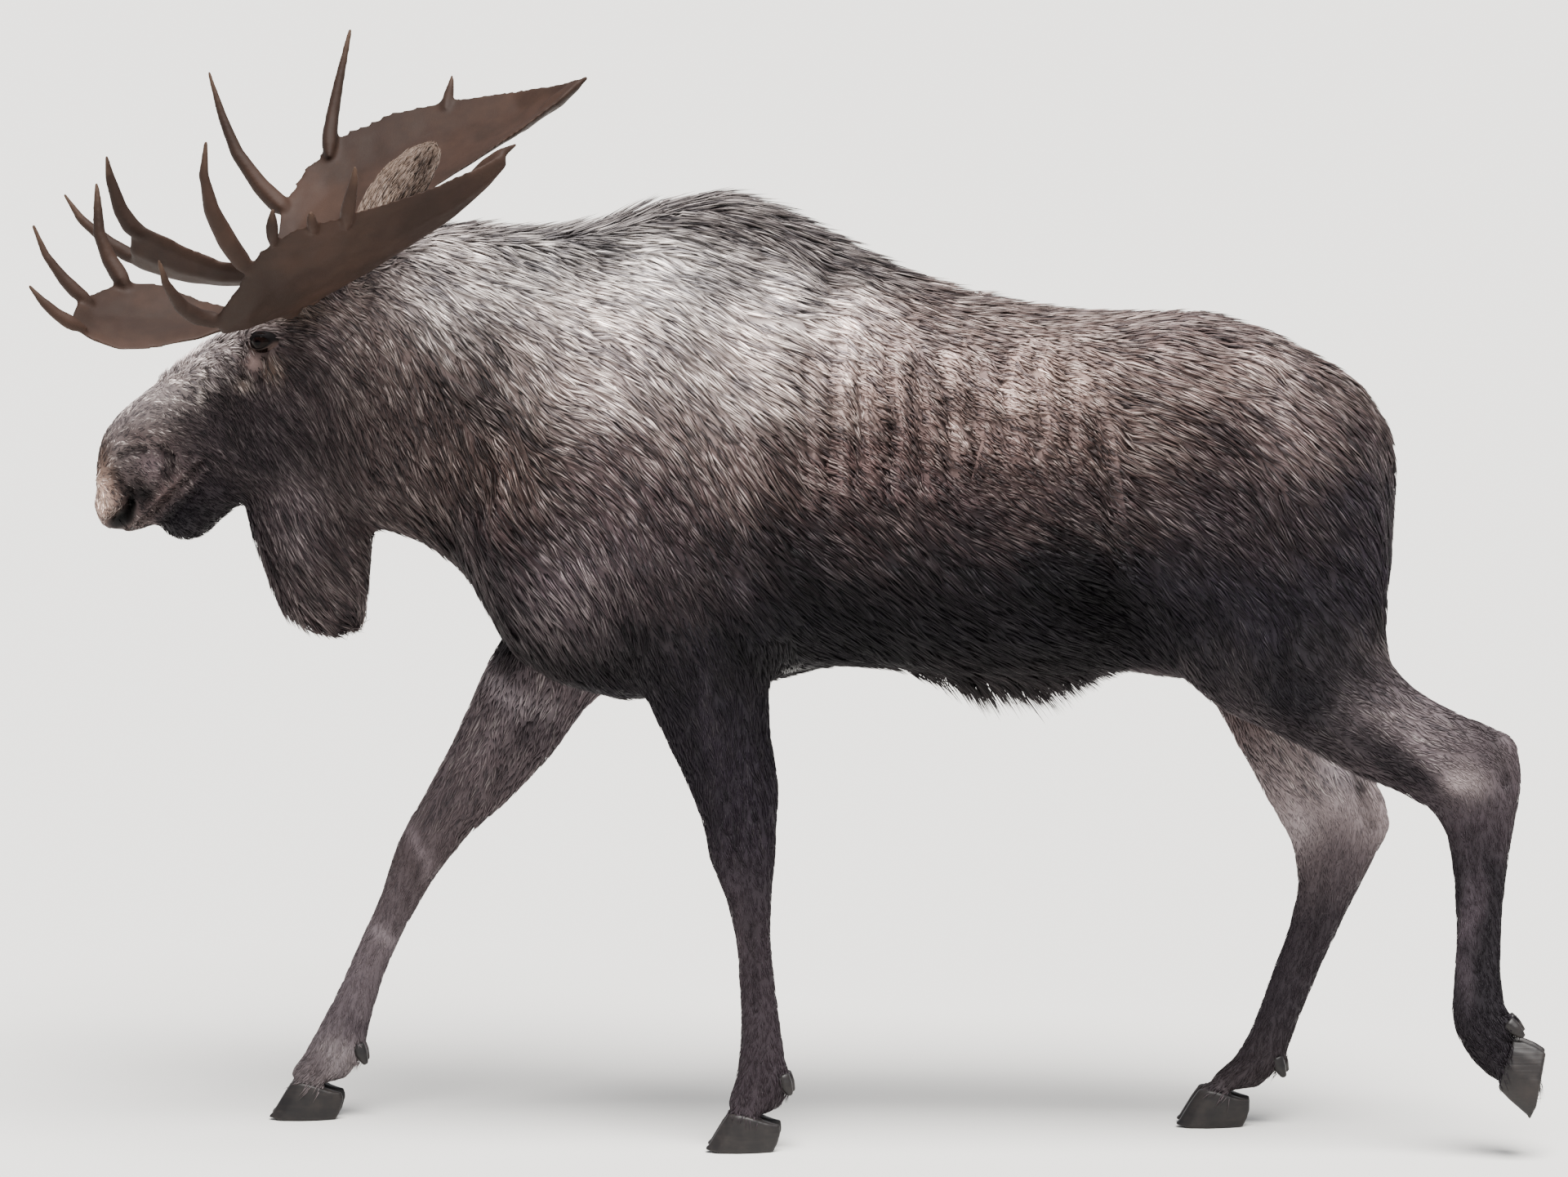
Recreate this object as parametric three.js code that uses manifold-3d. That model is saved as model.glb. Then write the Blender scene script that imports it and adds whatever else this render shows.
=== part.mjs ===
// Bull moose, walking, life size. Millimetres, +Z up, floor at z = 0.
// The head points along -X, so the animal's left side is -Y.
// The flesh is lofted in a few overlapping bodies, joined, and parted again by thin cuts.
import * as THREE from "three";
import { mergeVertices } from "three/addons/utils/BufferGeometryUtils.js";
import Module from "manifold-3d";

const wasm = await Module();
wasm.setup();

// ---------------------------------------------------------------- driving dimensions

const GAP = 0.4; // between neighbouring pieces
const LEFT = -1;
const RIGHT = 1;
const CRUMB = 2000; // mm3, cut-off scraps smaller than this are dropped

const HEAD_TURN = THREE.MathUtils.degToRad(-6); // the muzzle looks a little to the right
const HEAD_PIVOT = new THREE.Vector3(-900, 0, 0);

const EYE_RADIUS = 19;
const EYE_FACETS = 8;
const EYE_CENTRE = [-1092, 94, 1703]; // x, distance from the head's mid-plane, z

const HOOF_LENGTH = 150;
const HOOF_WIDTH = 56;
const HOOF_HEIGHT = 82;
const HOOF_SPREAD = 32; // from the foot's middle to each claw's middle
const DEWCLAW_LENGTH = 52;

const PEDICLE_ROOT = [-985, 50, 1770]; // x, distance from the mid-plane, z
const PEDICLE = [-985, 112, 1812];
const PEDICLE_RADII = [40, 37];
const BURR_RADIUS = 50;
const BEAM_RADII = [36, 32, 33, 34, 22];
const PALM_HALF_THICKNESS = 11;
const PALM_SAG = 34;
const BROW_SAG = 16;
const FULL_SAG_WIDTH = 150;
const TINE_TIP = 4;
const TINE_START = 8;
const TINE_SWELL = 42;

// Trunk: x, top z, underside z, half width, lean (how much narrower the back is).
const TRUNK = [
  [-640, 1540, 1140, 100, 0.1],
  [-590, 1750, 1040, 185, 0.15],
  [-500, 1885, 975, 235, 0.25],
  [-403, 1943, 937, 262, 0.32],
  [-300, 1982, 932, 280, 0.38],
  [-200, 2008, 945, 290, 0.42],
  [-120, 2012, 957, 292, 0.42],
  [-30, 1985, 972, 294, 0.38],
  [60, 1940, 1000, 298, 0.32],
  [160, 1893, 1012, 304, 0.26],
  [290, 1826, 998, 312, 0.2],
  [420, 1797, 980, 316, 0.17],
  [560, 1774, 984, 314, 0.15],
  [700, 1768, 1006, 305, 0.15],
  [850, 1770, 985, 292, 0.18],
  [950, 1755, 965, 280, 0.2],
  [1045, 1713, 965, 262, 0.2],
  [1140, 1673, 990, 232, 0.2],
  [1210, 1626, 1025, 195, 0.15],
  [1252, 1560, 1085, 150, 0.1],
  [1278, 1450, 1200, 85, 0],
];

// Neck: top x, z, then underside x, z, then half width.
const NECK = [
  [-985, 1800, -1020, 1430, 84],
  [-931, 1862, -964, 1345, 122],
  [-844, 1910, -899, 1308, 148],
  [-758, 1938, -813, 1281, 168],
  [-671, 1950, -726, 1247, 186],
  [-568, 1941, -655, 1172, 210],
  [-465, 1938, -600, 1060, 235],
  [-378, 1955, -485, 965, 250],
  [-300, 1900, -380, 1010, 220],
];

// Head, from the muzzle back: top x, z, then underside x, z, then half width.
const HEAD = [
  [-1461, 1452, -1459, 1322, 46],
  [-1446, 1498, -1434, 1286, 74],
  [-1412, 1541, -1386, 1281, 91],
  [-1362, 1581, -1333, 1298, 94],
  [-1313, 1622, -1284, 1330, 90],
  [-1261, 1663, -1222, 1360, 88],
  [-1205, 1697, -1160, 1352, 94],
  [-1148, 1724, -1098, 1348, 106],
  [-1087, 1756, -1029, 1352, 117],
  [-1026, 1798, -960, 1362, 122],
  [-965, 1842, -890, 1385, 120],
  [-896, 1872, -830, 1450, 112],
  [-830, 1860, -780, 1500, 96],
];
const NOSE_TIP = [-1467, 0, 1392];
const NAPE = [-800, 0, 1680];

// Lower jaw, from the chin back: mouth line x, z, then chin x, z, then half width.
const JAW = [
  [-1322, 1322, -1316, 1284, 38],
  [-1292, 1358, -1268, 1270, 56],
  [-1252, 1402, -1220, 1286, 63],
  [-1210, 1432, -1182, 1326, 70],
  [-1150, 1470, -1110, 1362, 78],
  [-1060, 1500, -1030, 1390, 84],
];

// Bell (the dewlap) from the throat down: front x, z, then rear x, z, then half width.
const BELL = [
  [-1152, 1392, -868, 1392, 70],
  [-1140, 1286, -870, 1284, 66],
  [-1110, 1211, -863, 1213, 61],
  [-1091, 1133, -860, 1134, 55],
  [-1062, 1078, -882, 1080, 44],
  [-1017, 1044, -905, 1050, 27],
];
const BELL_TIP = [-956, 0, 1026];

// Legs, from the body down: front x, z, then rear x, z, then the middle's distance from
// the mid-plane and the half width.
const FORE_LEFT = [
  [-190, 1740, -20, 1750, 128, 56],
  [-264, 1640, 4, 1640, 166, 78],
  [-340, 1450, 9, 1410, 196, 84],
  [-375, 1290, 5, 1260, 208, 90],
  [-366, 1158, 1, 1140, 205, 95],
  [-312, 1010, -16, 1005, 186, 86],
  [-258, 900, -14, 893, 172, 70],
  [-214, 804, 2, 802, 166, 60],
  [-181, 738, 3, 739, 165, 54],
  [-162, 670, -2, 672, 165, 50],
  [-146, 601, -8, 602, 165, 50],
  [-113, 532, -17, 533, 165, 43],
  [-95, 456, -18, 456, 165, 32],
  [-88, 364, -9, 364, 165, 29],
  [-85, 265, 3, 265, 165, 31],
  [-88, 190, 15, 191, 165, 37],
  [-98, 137, 20, 132, 166, 40],
  [-118, 92, 2, 74, 168, 45],
];
const FORE_RIGHT = [
  [-230, 1740, -60, 1750, 128, 56],
  [-320, 1630, -50, 1640, 166, 78],
  [-420, 1450, -70, 1405, 198, 92],
  [-500, 1270, -110, 1230, 208, 95],
  [-570, 1130, -200, 1080, 200, 92],
  [-634, 1020, -330, 965, 186, 82],
  [-668, 948, -420, 900, 175, 74],
  [-708, 852, -476, 820, 170, 64],
  [-752, 760, -545, 735, 168, 57],
  [-810, 664, -630, 662, 168, 52],
  [-852, 567, -706, 593, 168, 50],
  [-878, 474, -760, 519, 168, 43],
  [-918, 391, -815, 423, 168, 32],
  [-956, 303, -853, 344, 168, 30],
  [-995, 231, -880, 265, 168, 32],
  [-1030, 160, -898, 192, 168, 37],
  [-1052, 124, -917, 130, 168, 40],
  [-1080, 92, -950, 74, 170, 45],
];
const HIND_LEFT = [
  [880, 1690, 1110, 1640, 104, 62],
  [820, 1560, 1200, 1540, 146, 90],
  [780, 1400, 1262, 1430, 170, 102],
  [765, 1250, 1287, 1290, 180, 106],
  [768, 1120, 1281, 1170, 180, 100],
  [812, 1020, 1276, 1095, 180, 90],
  [925, 938, 1286, 1045, 180, 79],
  [1050, 886, 1322, 1004, 180, 70],
  [1165, 822, 1373, 972, 180, 61],
  [1250, 786, 1443, 934, 180, 53],
  [1322, 760, 1513, 910, 180, 48],
  [1378, 718, 1558, 874, 180, 46],
  [1398, 668, 1554, 770, 180, 43],
  [1410, 585, 1530, 640, 180, 35],
  [1415, 500, 1518, 530, 180, 30],
  [1415, 430, 1515, 440, 180, 29],
  [1408, 345, 1515, 345, 180, 32],
  [1408, 296, 1540, 296, 180, 38],
  [1424, 244, 1554, 278, 180, 40],
  [1462, 196, 1556, 262, 180, 43],
  [1500, 160, 1548, 254, 180, 45],
];
const HIND_RIGHT = [
  [840, 1690, 1080, 1640, 104, 62],
  [780, 1560, 1170, 1540, 146, 90],
  [745, 1400, 1230, 1400, 170, 102],
  [738, 1250, 1240, 1260, 180, 105],
  [762, 1110, 1228, 1130, 180, 96],
  [832, 1000, 1208, 1020, 180, 84],
  [905, 905, 1196, 930, 180, 72],
  [947, 828, 1208, 852, 180, 64],
  [994, 740, 1246, 768, 180, 56],
  [1046, 655, 1290, 690, 180, 48],
  [1078, 590, 1285, 632, 180, 46],
  [1085, 515, 1243, 560, 180, 39],
  [1070, 440, 1200, 472, 180, 32],
  [1030, 330, 1155, 372, 180, 30],
  [1002, 250, 1110, 280, 180, 32],
  [980, 185, 1085, 200, 180, 37],
  [945, 135, 1055, 128, 180, 40],
  [892, 94, 1004, 74, 182, 45],
];

// ---------------------------------------------------------------- finishes

const finish = (colour, roughness) =>
  new THREE.MeshStandardMaterial({ color: colour, roughness, metalness: 0 });
const COAT = finish(0x5f544c, 0.8);
const DARK_COAT = finish(0x3a3230, 0.8);
const PALE_COAT = finish(0x8a8078, 0.8);
const ANTLER = finish(0x8a6a4e, 0.6);
const HORN = finish(0x2c2622, 0.5);
const EYE = finish(0x120c0a, 0.1);

// ---------------------------------------------------------------- solids

const vec = (p) => new THREE.Vector3(p[0], p[1], p[2]);
const mirror = (side, [x, y, z]) => [x, side * y, z];

// A closed three.js geometry as a solid, turned outwards whichever way its faces ran.
function toSolid(geometry) {
  const bare = new THREE.BufferGeometry();
  bare.setAttribute("position", geometry.getAttribute("position"));
  bare.setIndex(geometry.index);
  const merged = mergeVertices(bare, 1e-3);
  const position = merged.getAttribute("position");
  const corners = [0, 1, 2].map(() => new THREE.Vector3());
  const kept = [];
  let volume = 0;
  for (let i = 0; i < merged.index.count; i += 3) {
    const face = [0, 1, 2].map((k) => merged.index.getX(i + k));
    if (new Set(face).size < 3) continue;
    kept.push(face);
    face.forEach((v, k) => corners[k].fromBufferAttribute(position, v));
    volume += corners[0].dot(corners[1].cross(corners[2]));
  }
  const turned = volume > 0 ? kept : kept.map(([a, b, c]) => [a, c, b]);
  return new wasm.Manifold(
    new wasm.Mesh({
      numProp: 3,
      vertProperties: new Float32Array(position.array),
      triVerts: new Uint32Array(turned.flat()),
    }),
  );
}

// A solid's largest single body, without the crumbs that a cut may leave.
function main(solid) {
  const bodies = solid.decompose().filter((body) => body.volume() > CRUMB);
  bodies.sort((a, b) => b.volume() - a.volume());
  return bodies[0];
}

function join(solids) {
  return solids.reduce((whole, piece) => whole.add(piece));
}

// A body lofted through stations { a, b, w, bow, lean }. Each section is an oval between the
// points a and b, 2 w across; bow moves its middle sideways and lean narrows the side of a.
// The ends close on the points first and last. square is the oval's exponent, 2 for a true oval.
function loft(stations, { rows, segments, first, last, square = 2 }) {
  const line = (pick) => new THREE.CatmullRomCurve3(stations.map(pick), false, "catmullrom", 0.5);
  const lineA = line((s) => vec(s.a));
  const lineB = line((s) => vec(s.b));
  const sizes = line((s) => new THREE.Vector3(s.w, s.bow ?? 0, s.lean ?? 0));
  const middle = (t) => lineA.getPoint(t).add(lineB.getPoint(t)).multiplyScalar(0.5);
  const power = (value) => Math.sign(value) * Math.abs(value) ** (2 / square);
  const step = 0.01;

  const geometry = new THREE.SphereGeometry(1, segments, rows);
  const position = geometry.getAttribute("position");
  for (let row = 0; row <= rows; row += 1) {
    const t = THREE.MathUtils.clamp((row - 1) / (rows - 2), 0, 1);
    const centre = middle(t);
    const reach = lineA.getPoint(t).sub(centre);
    const along = middle(Math.min(1, t + step)).sub(middle(Math.max(0, t - step)));
    const side = new THREE.Vector3().crossVectors(reach, along).normalize();
    const size = sizes.getPoint(t);
    for (let column = 0; column <= segments; column += 1) {
      const angle = ((column % segments) / segments) * 2 * Math.PI;
      const up = power(Math.cos(angle));
      const out = power(Math.sin(angle)) * size.x * (1 - size.z * up);
      const point = centre.clone().addScaledVector(reach, up);
      point.addScaledVector(side, out + size.y * (1 - up * up));
      if (row === 0) point.copy(first ? vec(first) : centre);
      if (row === rows) point.copy(last ? vec(last) : centre);
      position.setXYZ(row * (segments + 1) + column, point.x, point.y, point.z);
    }
  }
  return toSolid(geometry);
}

// A round body that tapers along a curve, with a radius at each of its points.
function horn(points, radii, rows, segments) {
  const path = new THREE.CatmullRomCurve3(points.map(vec));
  const steps = radii.length - 1;
  const frames = path.computeFrenetFrames(rows);
  const stations = [];
  for (let i = 0; i <= rows; i += 1) {
    const t = i / rows;
    const at = Math.min(steps - 1, Math.floor(t * steps));
    const radius = THREE.MathUtils.lerp(radii[at], radii[at + 1], t * steps - at);
    const centre = path.getPoint(t);
    const offset = frames.normals[i].clone().multiplyScalar(radius);
    stations.push({
      a: centre.clone().add(offset).toArray(),
      b: centre.clone().sub(offset).toArray(),
      w: radius,
    });
  }
  return loft(stations, { rows: rows + 2, segments });
}

function ball(centre, radius, segments) {
  const geometry = new THREE.SphereGeometry(radius, segments, segments / 2);
  geometry.translate(...centre);
  return toSolid(geometry);
}

// A box that stands on a cut: its near face is centred on at, and it reaches depth along normal.
// The second axis gives the direction of the first of its two half sizes.
function cutter(at, normal, axis, reach, depth, offset) {
  const z = vec(normal).normalize();
  const y = new THREE.Vector3().crossVectors(z, vec(axis)).normalize();
  const x = new THREE.Vector3().crossVectors(y, z);
  const geometry = new THREE.BoxGeometry(2 * reach[0], 2 * reach[1], depth);
  geometry.translate(0, 0, depth / 2 + offset);
  geometry.applyMatrix4(new THREE.Matrix4().makeBasis(x, y, z).setPosition(vec(at)));
  return toSolid(geometry);
}

// Parts a body at a plane inside a box: [what lies in the box, the rest], with a gap between.
function part(body, { at, normal, axis, reach, depth }) {
  const inner = cutter(at, normal, axis, reach, depth, 0);
  const outer = cutter(
    at,
    normal,
    axis,
    reach.map((r) => r + GAP),
    depth + 2 * GAP,
    -GAP,
  );
  return [main(body.intersect(inner)), main(body.subtract(outer))];
}

// ---------------------------------------------------------------- flesh

const upright = ([x, top, low, w, lean]) => ({ a: [x, 0, top], b: [x, 0, low], w, lean });
const profile = ([ax, az, bx, bz, w], lean) => ({ a: [ax, 0, az], b: [bx, 0, bz], w, lean });

// The head and what grows on it are drawn straight and turned about the pivot together.
function turned(point) {
  const moved = vec(point).sub(HEAD_PIVOT);
  return moved.applyAxisAngle(new THREE.Vector3(0, 0, 1), HEAD_TURN).add(HEAD_PIVOT).toArray();
}
const turnedStation = (station) => ({
  ...station,
  a: turned(station.a),
  b: turned(station.b),
});

function trunk() {
  return loft(TRUNK.map(upright), {
    rows: 19,
    segments: 16,
    first: [-655, 0, 1340],
    last: [1288, 0, 1330],
    square: 2.2,
  });
}

function neck() {
  return loft(
    NECK.map((row) => profile(row, 0.25)),
    { rows: 9, segments: 14, square: 2.1 },
  );
}

function head() {
  const skull = loft(
    HEAD.map((row) => turnedStation(profile(row, -0.08))),
    { rows: 14, segments: 14, first: turned(NOSE_TIP), last: turned(NAPE), square: 2.7 },
  );
  const jaw = loft(
    JAW.map((row) => turnedStation(profile(row, -0.1))),
    { rows: 8, segments: 10, first: turned([-1334, 0, 1304]), square: 2.4 },
  );
  const brows = [LEFT, RIGHT].map((side) => {
    const brow = new THREE.SphereGeometry(1, 8, 5);
    brow.scale(46, 26, 34);
    brow.translate(...turned(mirror(side, [-1086, 88, 1708])));
    return toSolid(brow);
  });
  const pedicles = [LEFT, RIGHT].map((side) =>
    horn([turned(mirror(side, PEDICLE_ROOT)), turned(mirror(side, PEDICLE))], PEDICLE_RADII, 1, 9),
  );
  return join([skull, jaw, ...brows, ...pedicles]);
}

function bell() {
  return loft(
    BELL.map((row) => turnedStation(profile(row, 0))),
    { rows: 9, segments: 12, last: turned(BELL_TIP), square: 2.3 },
  );
}

function leg(table, side, first, last) {
  const stations = table.map(([ax, az, bx, bz, y, w]) => ({
    a: [ax, side * y, az],
    b: [bx, side * y, bz],
    w,
  }));
  return loft(stations, { rows: table.length - 2, segments: 10, first, last, square: 2.2 });
}

function tail() {
  const stations = [
    { a: [1270, 0, 1545], b: [1225, 0, 1530], w: 40 },
    { a: [1288, 0, 1480], b: [1240, 0, 1476], w: 38 },
    { a: [1293, 0, 1415], b: [1262, 0, 1412], w: 27 },
  ];
  return loft(stations, { rows: 5, segments: 8, last: [1282, 0, 1375] });
}

// ---------------------------------------------------------------- ears, hooves

// Ear: base to tip along a slanted line, cupped, open outwards and a little forwards.
// The right ear is laid a little lower than the left.
const EAR = [
  [-896, 84, 1780, 30, 26, 0],
  [-872, 120, 1862, 36, 24, 0],
  [-846, 138, 1928, 48, 21, 8],
  [-808, 150, 1990, 60, 16, 16],
  [-764, 164, 2044, 61, 12, 17],
  [-724, 176, 2090, 46, 9, 12],
  [-698, 184, 2119, 22, 7, 4],
];
const EAR_TIP = [-688, 187, 2129];
const EAR_CUT = [-846, 136, 1922];
const EAR_DROP = { [LEFT]: 0, [RIGHT]: THREE.MathUtils.degToRad(56) };
const EAR_SPREAD = { [LEFT]: 0, [RIGHT]: THREE.MathUtils.degToRad(50) };

function earPoint(side, [x, y, z]) {
  const root = vec(EAR[0]);
  const moved = vec([x, y, z]).sub(root);
  moved.applyAxisAngle(new THREE.Vector3(0, 1, 0), EAR_DROP[side]);
  moved.applyAxisAngle(new THREE.Vector3(0, 0, 1), EAR_SPREAD[side]).add(root);
  return turned([moved.x, side * moved.y, moved.z]);
}

function ear(side) {
  const stations = EAR.map(([x, y, z, half, w, bow]) => {
    const across = vec([0.78, 0.3, -0.5]).normalize().multiplyScalar(half);
    const centre = vec([x, y, z]);
    return {
      a: earPoint(side, centre.clone().add(across).toArray()),
      b: earPoint(side, centre.clone().sub(across).toArray()),
      w,
      bow: -side * bow,
    };
  });
  return loft(stations, { rows: EAR.length + 1, segments: 10, last: earPoint(side, EAR_TIP) });
}

// One claw of a hoof, pointing along -X: a pointed oval that leans back as it rises.
// It is turned by pitch about the toe's tip, and its tip stands at the point tip.
function claw(tip, inward, pitch) {
  const segments = 10;
  const rows = [
    { z: 0, scale: 1, back: 0 },
    { z: HOOF_HEIGHT * 0.3, scale: 0.97, back: 14 },
    { z: HOOF_HEIGHT * 0.7, scale: 0.88, back: 34 },
    { z: HOOF_HEIGHT, scale: 0.74, back: 52 },
  ];
  const geometry = new THREE.CylinderGeometry(1, 1, 1, segments, rows.length - 1);
  const position = geometry.getAttribute("position");
  for (let i = 0; i < position.count; i += 1) {
    const level = Math.round((position.getY(i) + 0.5) * (rows.length - 1));
    const { z, scale, back } = rows[level];
    const angle = Math.atan2(position.getZ(i), position.getX(i));
    const onRim = Math.hypot(position.getX(i), position.getZ(i)) > 0.5 ? 1 : 0;
    const along = (1 - Math.cos(angle) * onRim) / 2;
    const width = Math.sin(Math.PI * Math.min(1, along ** 0.72)) ** 0.62;
    const half = (HOOF_WIDTH / 2) * scale * onRim * Math.sign(Math.sin(angle));
    const length = HOOF_LENGTH * scale;
    position.setXYZ(i, back + length * along, half * width + inward * along * 6, z);
  }
  geometry.rotateY(pitch);
  geometry.translate(...tip);
  return toSolid(geometry);
}

// A dewclaw: a short blunt cone that points down and back, or the hole that it sits in.
function dewclaw(root, direction, clearance) {
  const along = vec(direction).normalize();
  const points = [0, 0.5, 1].map((t) =>
    vec(root).addScaledVector(along, t * DEWCLAW_LENGTH + (t - 0.5) * 2 * clearance).toArray(),
  );
  return horn(points, [19, 17, 7].map((radius) => radius + clearance), 2, 6);
}

// ---------------------------------------------------------------- antlers

// A blade's sections, which sag by bow where they are at least FULL_SAG_WIDTH across.
const blade = (rows, bow) =>
  rows.map(([a, b]) => {
    const width = vec(a).distanceTo(vec(b));
    return { a, b, w: PALM_HALF_THICKNESS, bow: bow * Math.min(1, width / FULL_SAG_WIDTH) };
  });

const onSide = (side, rows) => rows.map((row) => row.map((point) => mirror(side, point)));

// Each palm: inner edge and outer edge, from the beam end out to its tip.
const LEFT_PALM = [
  [[-1154, 345, 1748], [-1160, 405, 1778]],
  [[-1118, 290, 1748], [-1112, 470, 1842]],
  [[-1060, 245, 1760], [-1066, 535, 1915]],
  [[-986, 218, 1788], [-1004, 580, 1968]],
  [[-909, 218, 1830], [-922, 598, 1996]],
  [[-821, 240, 1886], [-838, 596, 2018]],
  [[-733, 270, 1950], [-748, 570, 2046]],
  [[-661, 312, 2014], [-664, 520, 2076]],
  [[-598, 362, 2076], [-592, 462, 2106]],
  [[-558, 404, 2110], [-554, 446, 2124]],
];
const RIGHT_PALM = [
  [[-1075, 215, 1806], [-1112, 300, 1850]],
  [[-1030, 220, 1820], [-1110, 400, 1935]],
  [[-985, 238, 1842], [-1076, 465, 2008]],
  [[-904, 258, 1897], [-1010, 525, 2075]],
  [[-818, 280, 1957], [-930, 558, 2120]],
  [[-727, 302, 2014], [-836, 572, 2150]],
  [[-638, 332, 2075], [-716, 574, 2172]],
  [[-561, 364, 2132], [-590, 538, 2190]],
  [[-500, 398, 2178], [-512, 478, 2206]],
  [[-466, 424, 2206], [-468, 450, 2216]],
];
const LEFT_BROW = [
  [[-1024, 208, 1772], [-1034, 165, 1806]],
  [[-1076, 205, 1758], [-1088, 148, 1792]],
  [[-1140, 212, 1742], [-1150, 135, 1778]],
  [[-1216, 240, 1716], [-1218, 112, 1790]],
  [[-1298, 268, 1698], [-1290, 80, 1818]],
  [[-1372, 286, 1696], [-1366, 70, 1826]],
  [[-1436, 288, 1722], [-1430, 95, 1812]],
  [[-1474, 278, 1752], [-1468, 160, 1796]],
];
const RIGHT_BROW = [
  [[-1012, 208, 1784], [-1018, 165, 1820]],
  [[-1062, 200, 1792], [-1068, 150, 1832]],
  [[-1120, 205, 1796], [-1128, 140, 1842]],
  [[-1204, 225, 1790], [-1202, 132, 1850]],
  [[-1283, 238, 1794], [-1272, 126, 1880]],
  [[-1349, 244, 1806], [-1338, 120, 1915]],
  [[-1401, 242, 1826], [-1390, 122, 1940]],
];

// Tines: the root's radius, then points from the root to the tip.
const LEFT_TINES = [
  {
    root: 25,
    points: [
      [-1134, 378, 1766], [-1203, 425, 1786], [-1243, 480, 1842], [-1260, 520, 1910],
    ],
  },
  {
    root: 27,
    points: [
      [-1075, 500, 1880], [-1128, 590, 1985], [-1151, 628, 2074], [-1146, 640, 2163],
    ],
  },
  {
    root: 20,
    points: [
      [-1018, 560, 1940], [-1016, 604, 1990], [-1012, 620, 2024],
    ],
  },
  {
    root: 17,
    points: [
      [-932, 575, 1965], [-933, 615, 2000], [-934, 630, 2018],
    ],
  },
  {
    root: 21,
    points: [
      [-868, 570, 1975], [-856, 622, 2032], [-844, 645, 2075], [-839, 660, 2116],
    ],
  },
  {
    root: 22,
    points: [
      [-638, 404, 2052], [-575, 425, 2112], [-526, 432, 2143],
    ],
  },
];
const LEFT_BROW_TINES = [
  {
    root: 24,
    points: [
      [-1372, 100, 1805], [-1400, 80, 1845], [-1432, 70, 1899], [-1441, 60, 1975],
      [-1445, 50, 2030],
    ],
  },
  {
    root: 20,
    points: [
      [-1440, 165, 1782], [-1482, 166, 1815], [-1531, 170, 1873], [-1565, 170, 1951],
    ],
  },
  {
    root: 20,
    points: [
      [-1440, 272, 1738], [-1483, 288, 1761], [-1524, 298, 1795], [-1558, 300, 1835],
    ],
  },
];
const RIGHT_TINES = [
  {
    root: 27,
    points: [
      [-1085, 400, 1925], [-1120, 425, 1955], [-1186, 450, 2023], [-1233, 480, 2117],
      [-1270, 500, 2230],
    ],
  },
  {
    root: 23,
    points: [
      [-1008, 480, 2040], [-1010, 530, 2095], [-995, 580, 2199], [-973, 620, 2312],
    ],
  },
  {
    root: 18,
    points: [
      [-762, 545, 2140], [-756, 590, 2176], [-752, 620, 2214],
    ],
  },
  {
    root: 22,
    points: [
      [-556, 428, 2134], [-490, 440, 2188], [-444, 440, 2222],
    ],
  },
];
const RIGHT_BROW_TINES = [
  {
    root: 26,
    points: [
      [-1360, 150, 1890], [-1402, 125, 1930], [-1434, 112, 2014], [-1443, 100, 2077],
    ],
  },
  {
    root: 22,
    points: [
      [-1370, 215, 1835], [-1422, 222, 1858], [-1504, 230, 1916], [-1552, 240, 1982],
    ],
  },
];

// A tine starts thin inside the palm and swells as it leaves it, so it shows no flat end.
function tine(side, { points, root }) {
  const placed = points.map((point) => mirror(side, point));
  const radii = placed.map((_, i) => {
    const t = i / (placed.length - 1);
    return THREE.MathUtils.lerp(root, TINE_TIP, t ** 1.5);
  });
  const start = vec(placed[0]);
  const next = vec(placed[1]);
  const swell = Math.min(TINE_SWELL / start.distanceTo(next), 0.6);
  placed.splice(1, 0, start.clone().lerp(next, swell).toArray());
  radii.splice(0, 1, TINE_START, THREE.MathUtils.lerp(radii[0], radii[1], swell));
  return horn(placed, radii, placed.length, 5);
}

// The beam's way from the burr through the fork into the main palm.
const BEAM = {
  [LEFT]: [[-1022, 200, 1790], [-1026, 255, 1800], [-1016, 350, 1838]],
  [RIGHT]: [[-1004, 210, 1802], [-1020, 265, 1822], [-1030, 330, 1884]],
};

// One antler, before it is parted: the burr and the beam, the main palm and the brow palm.
function antler(side, palmRows, palmTines, browRows, browTines) {
  const burr = vec(turned(mirror(side, PEDICLE)));
  const outward = burr.clone().sub(vec(turned(mirror(side, PEDICLE_ROOT)))).normalize();
  const beam = horn(
    [
      burr.clone().addScaledVector(outward, -12).toArray(),
      burr.clone().addScaledVector(outward, 50).toArray(),
      ...BEAM[side].map((point) => mirror(side, point)),
    ],
    BEAM_RADII,
    5,
    10,
  );
  const ring = horn(
    [burr.toArray(), burr.clone().addScaledVector(outward, 16).toArray()],
    [BURR_RADIUS, BURR_RADIUS - 4],
    1,
    9,
  );
  const palm = loft(blade(onSide(side, palmRows), side * -PALM_SAG), {
    rows: palmRows.length,
    segments: 10,
  });
  const brow = loft(blade(onSide(side, browRows), side * -BROW_SAG), {
    rows: browRows.length + 1,
    segments: 8,
  });
  const whole = join([
    beam,
    ring,
    palm,
    brow,
    ...palmTines.map((entry) => tine(side, entry)),
    ...browTines.map((entry) => tine(side, entry)),
  ]);
  return { whole, burr, outward };
}

// ---------------------------------------------------------------- parting

const pieces = [];
function keep(name, solid, material) {
  pieces.push({ name, solid, material });
}

const EYES = [LEFT, RIGHT].map((side) => turned(mirror(side, EYE_CENTRE)));

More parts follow.
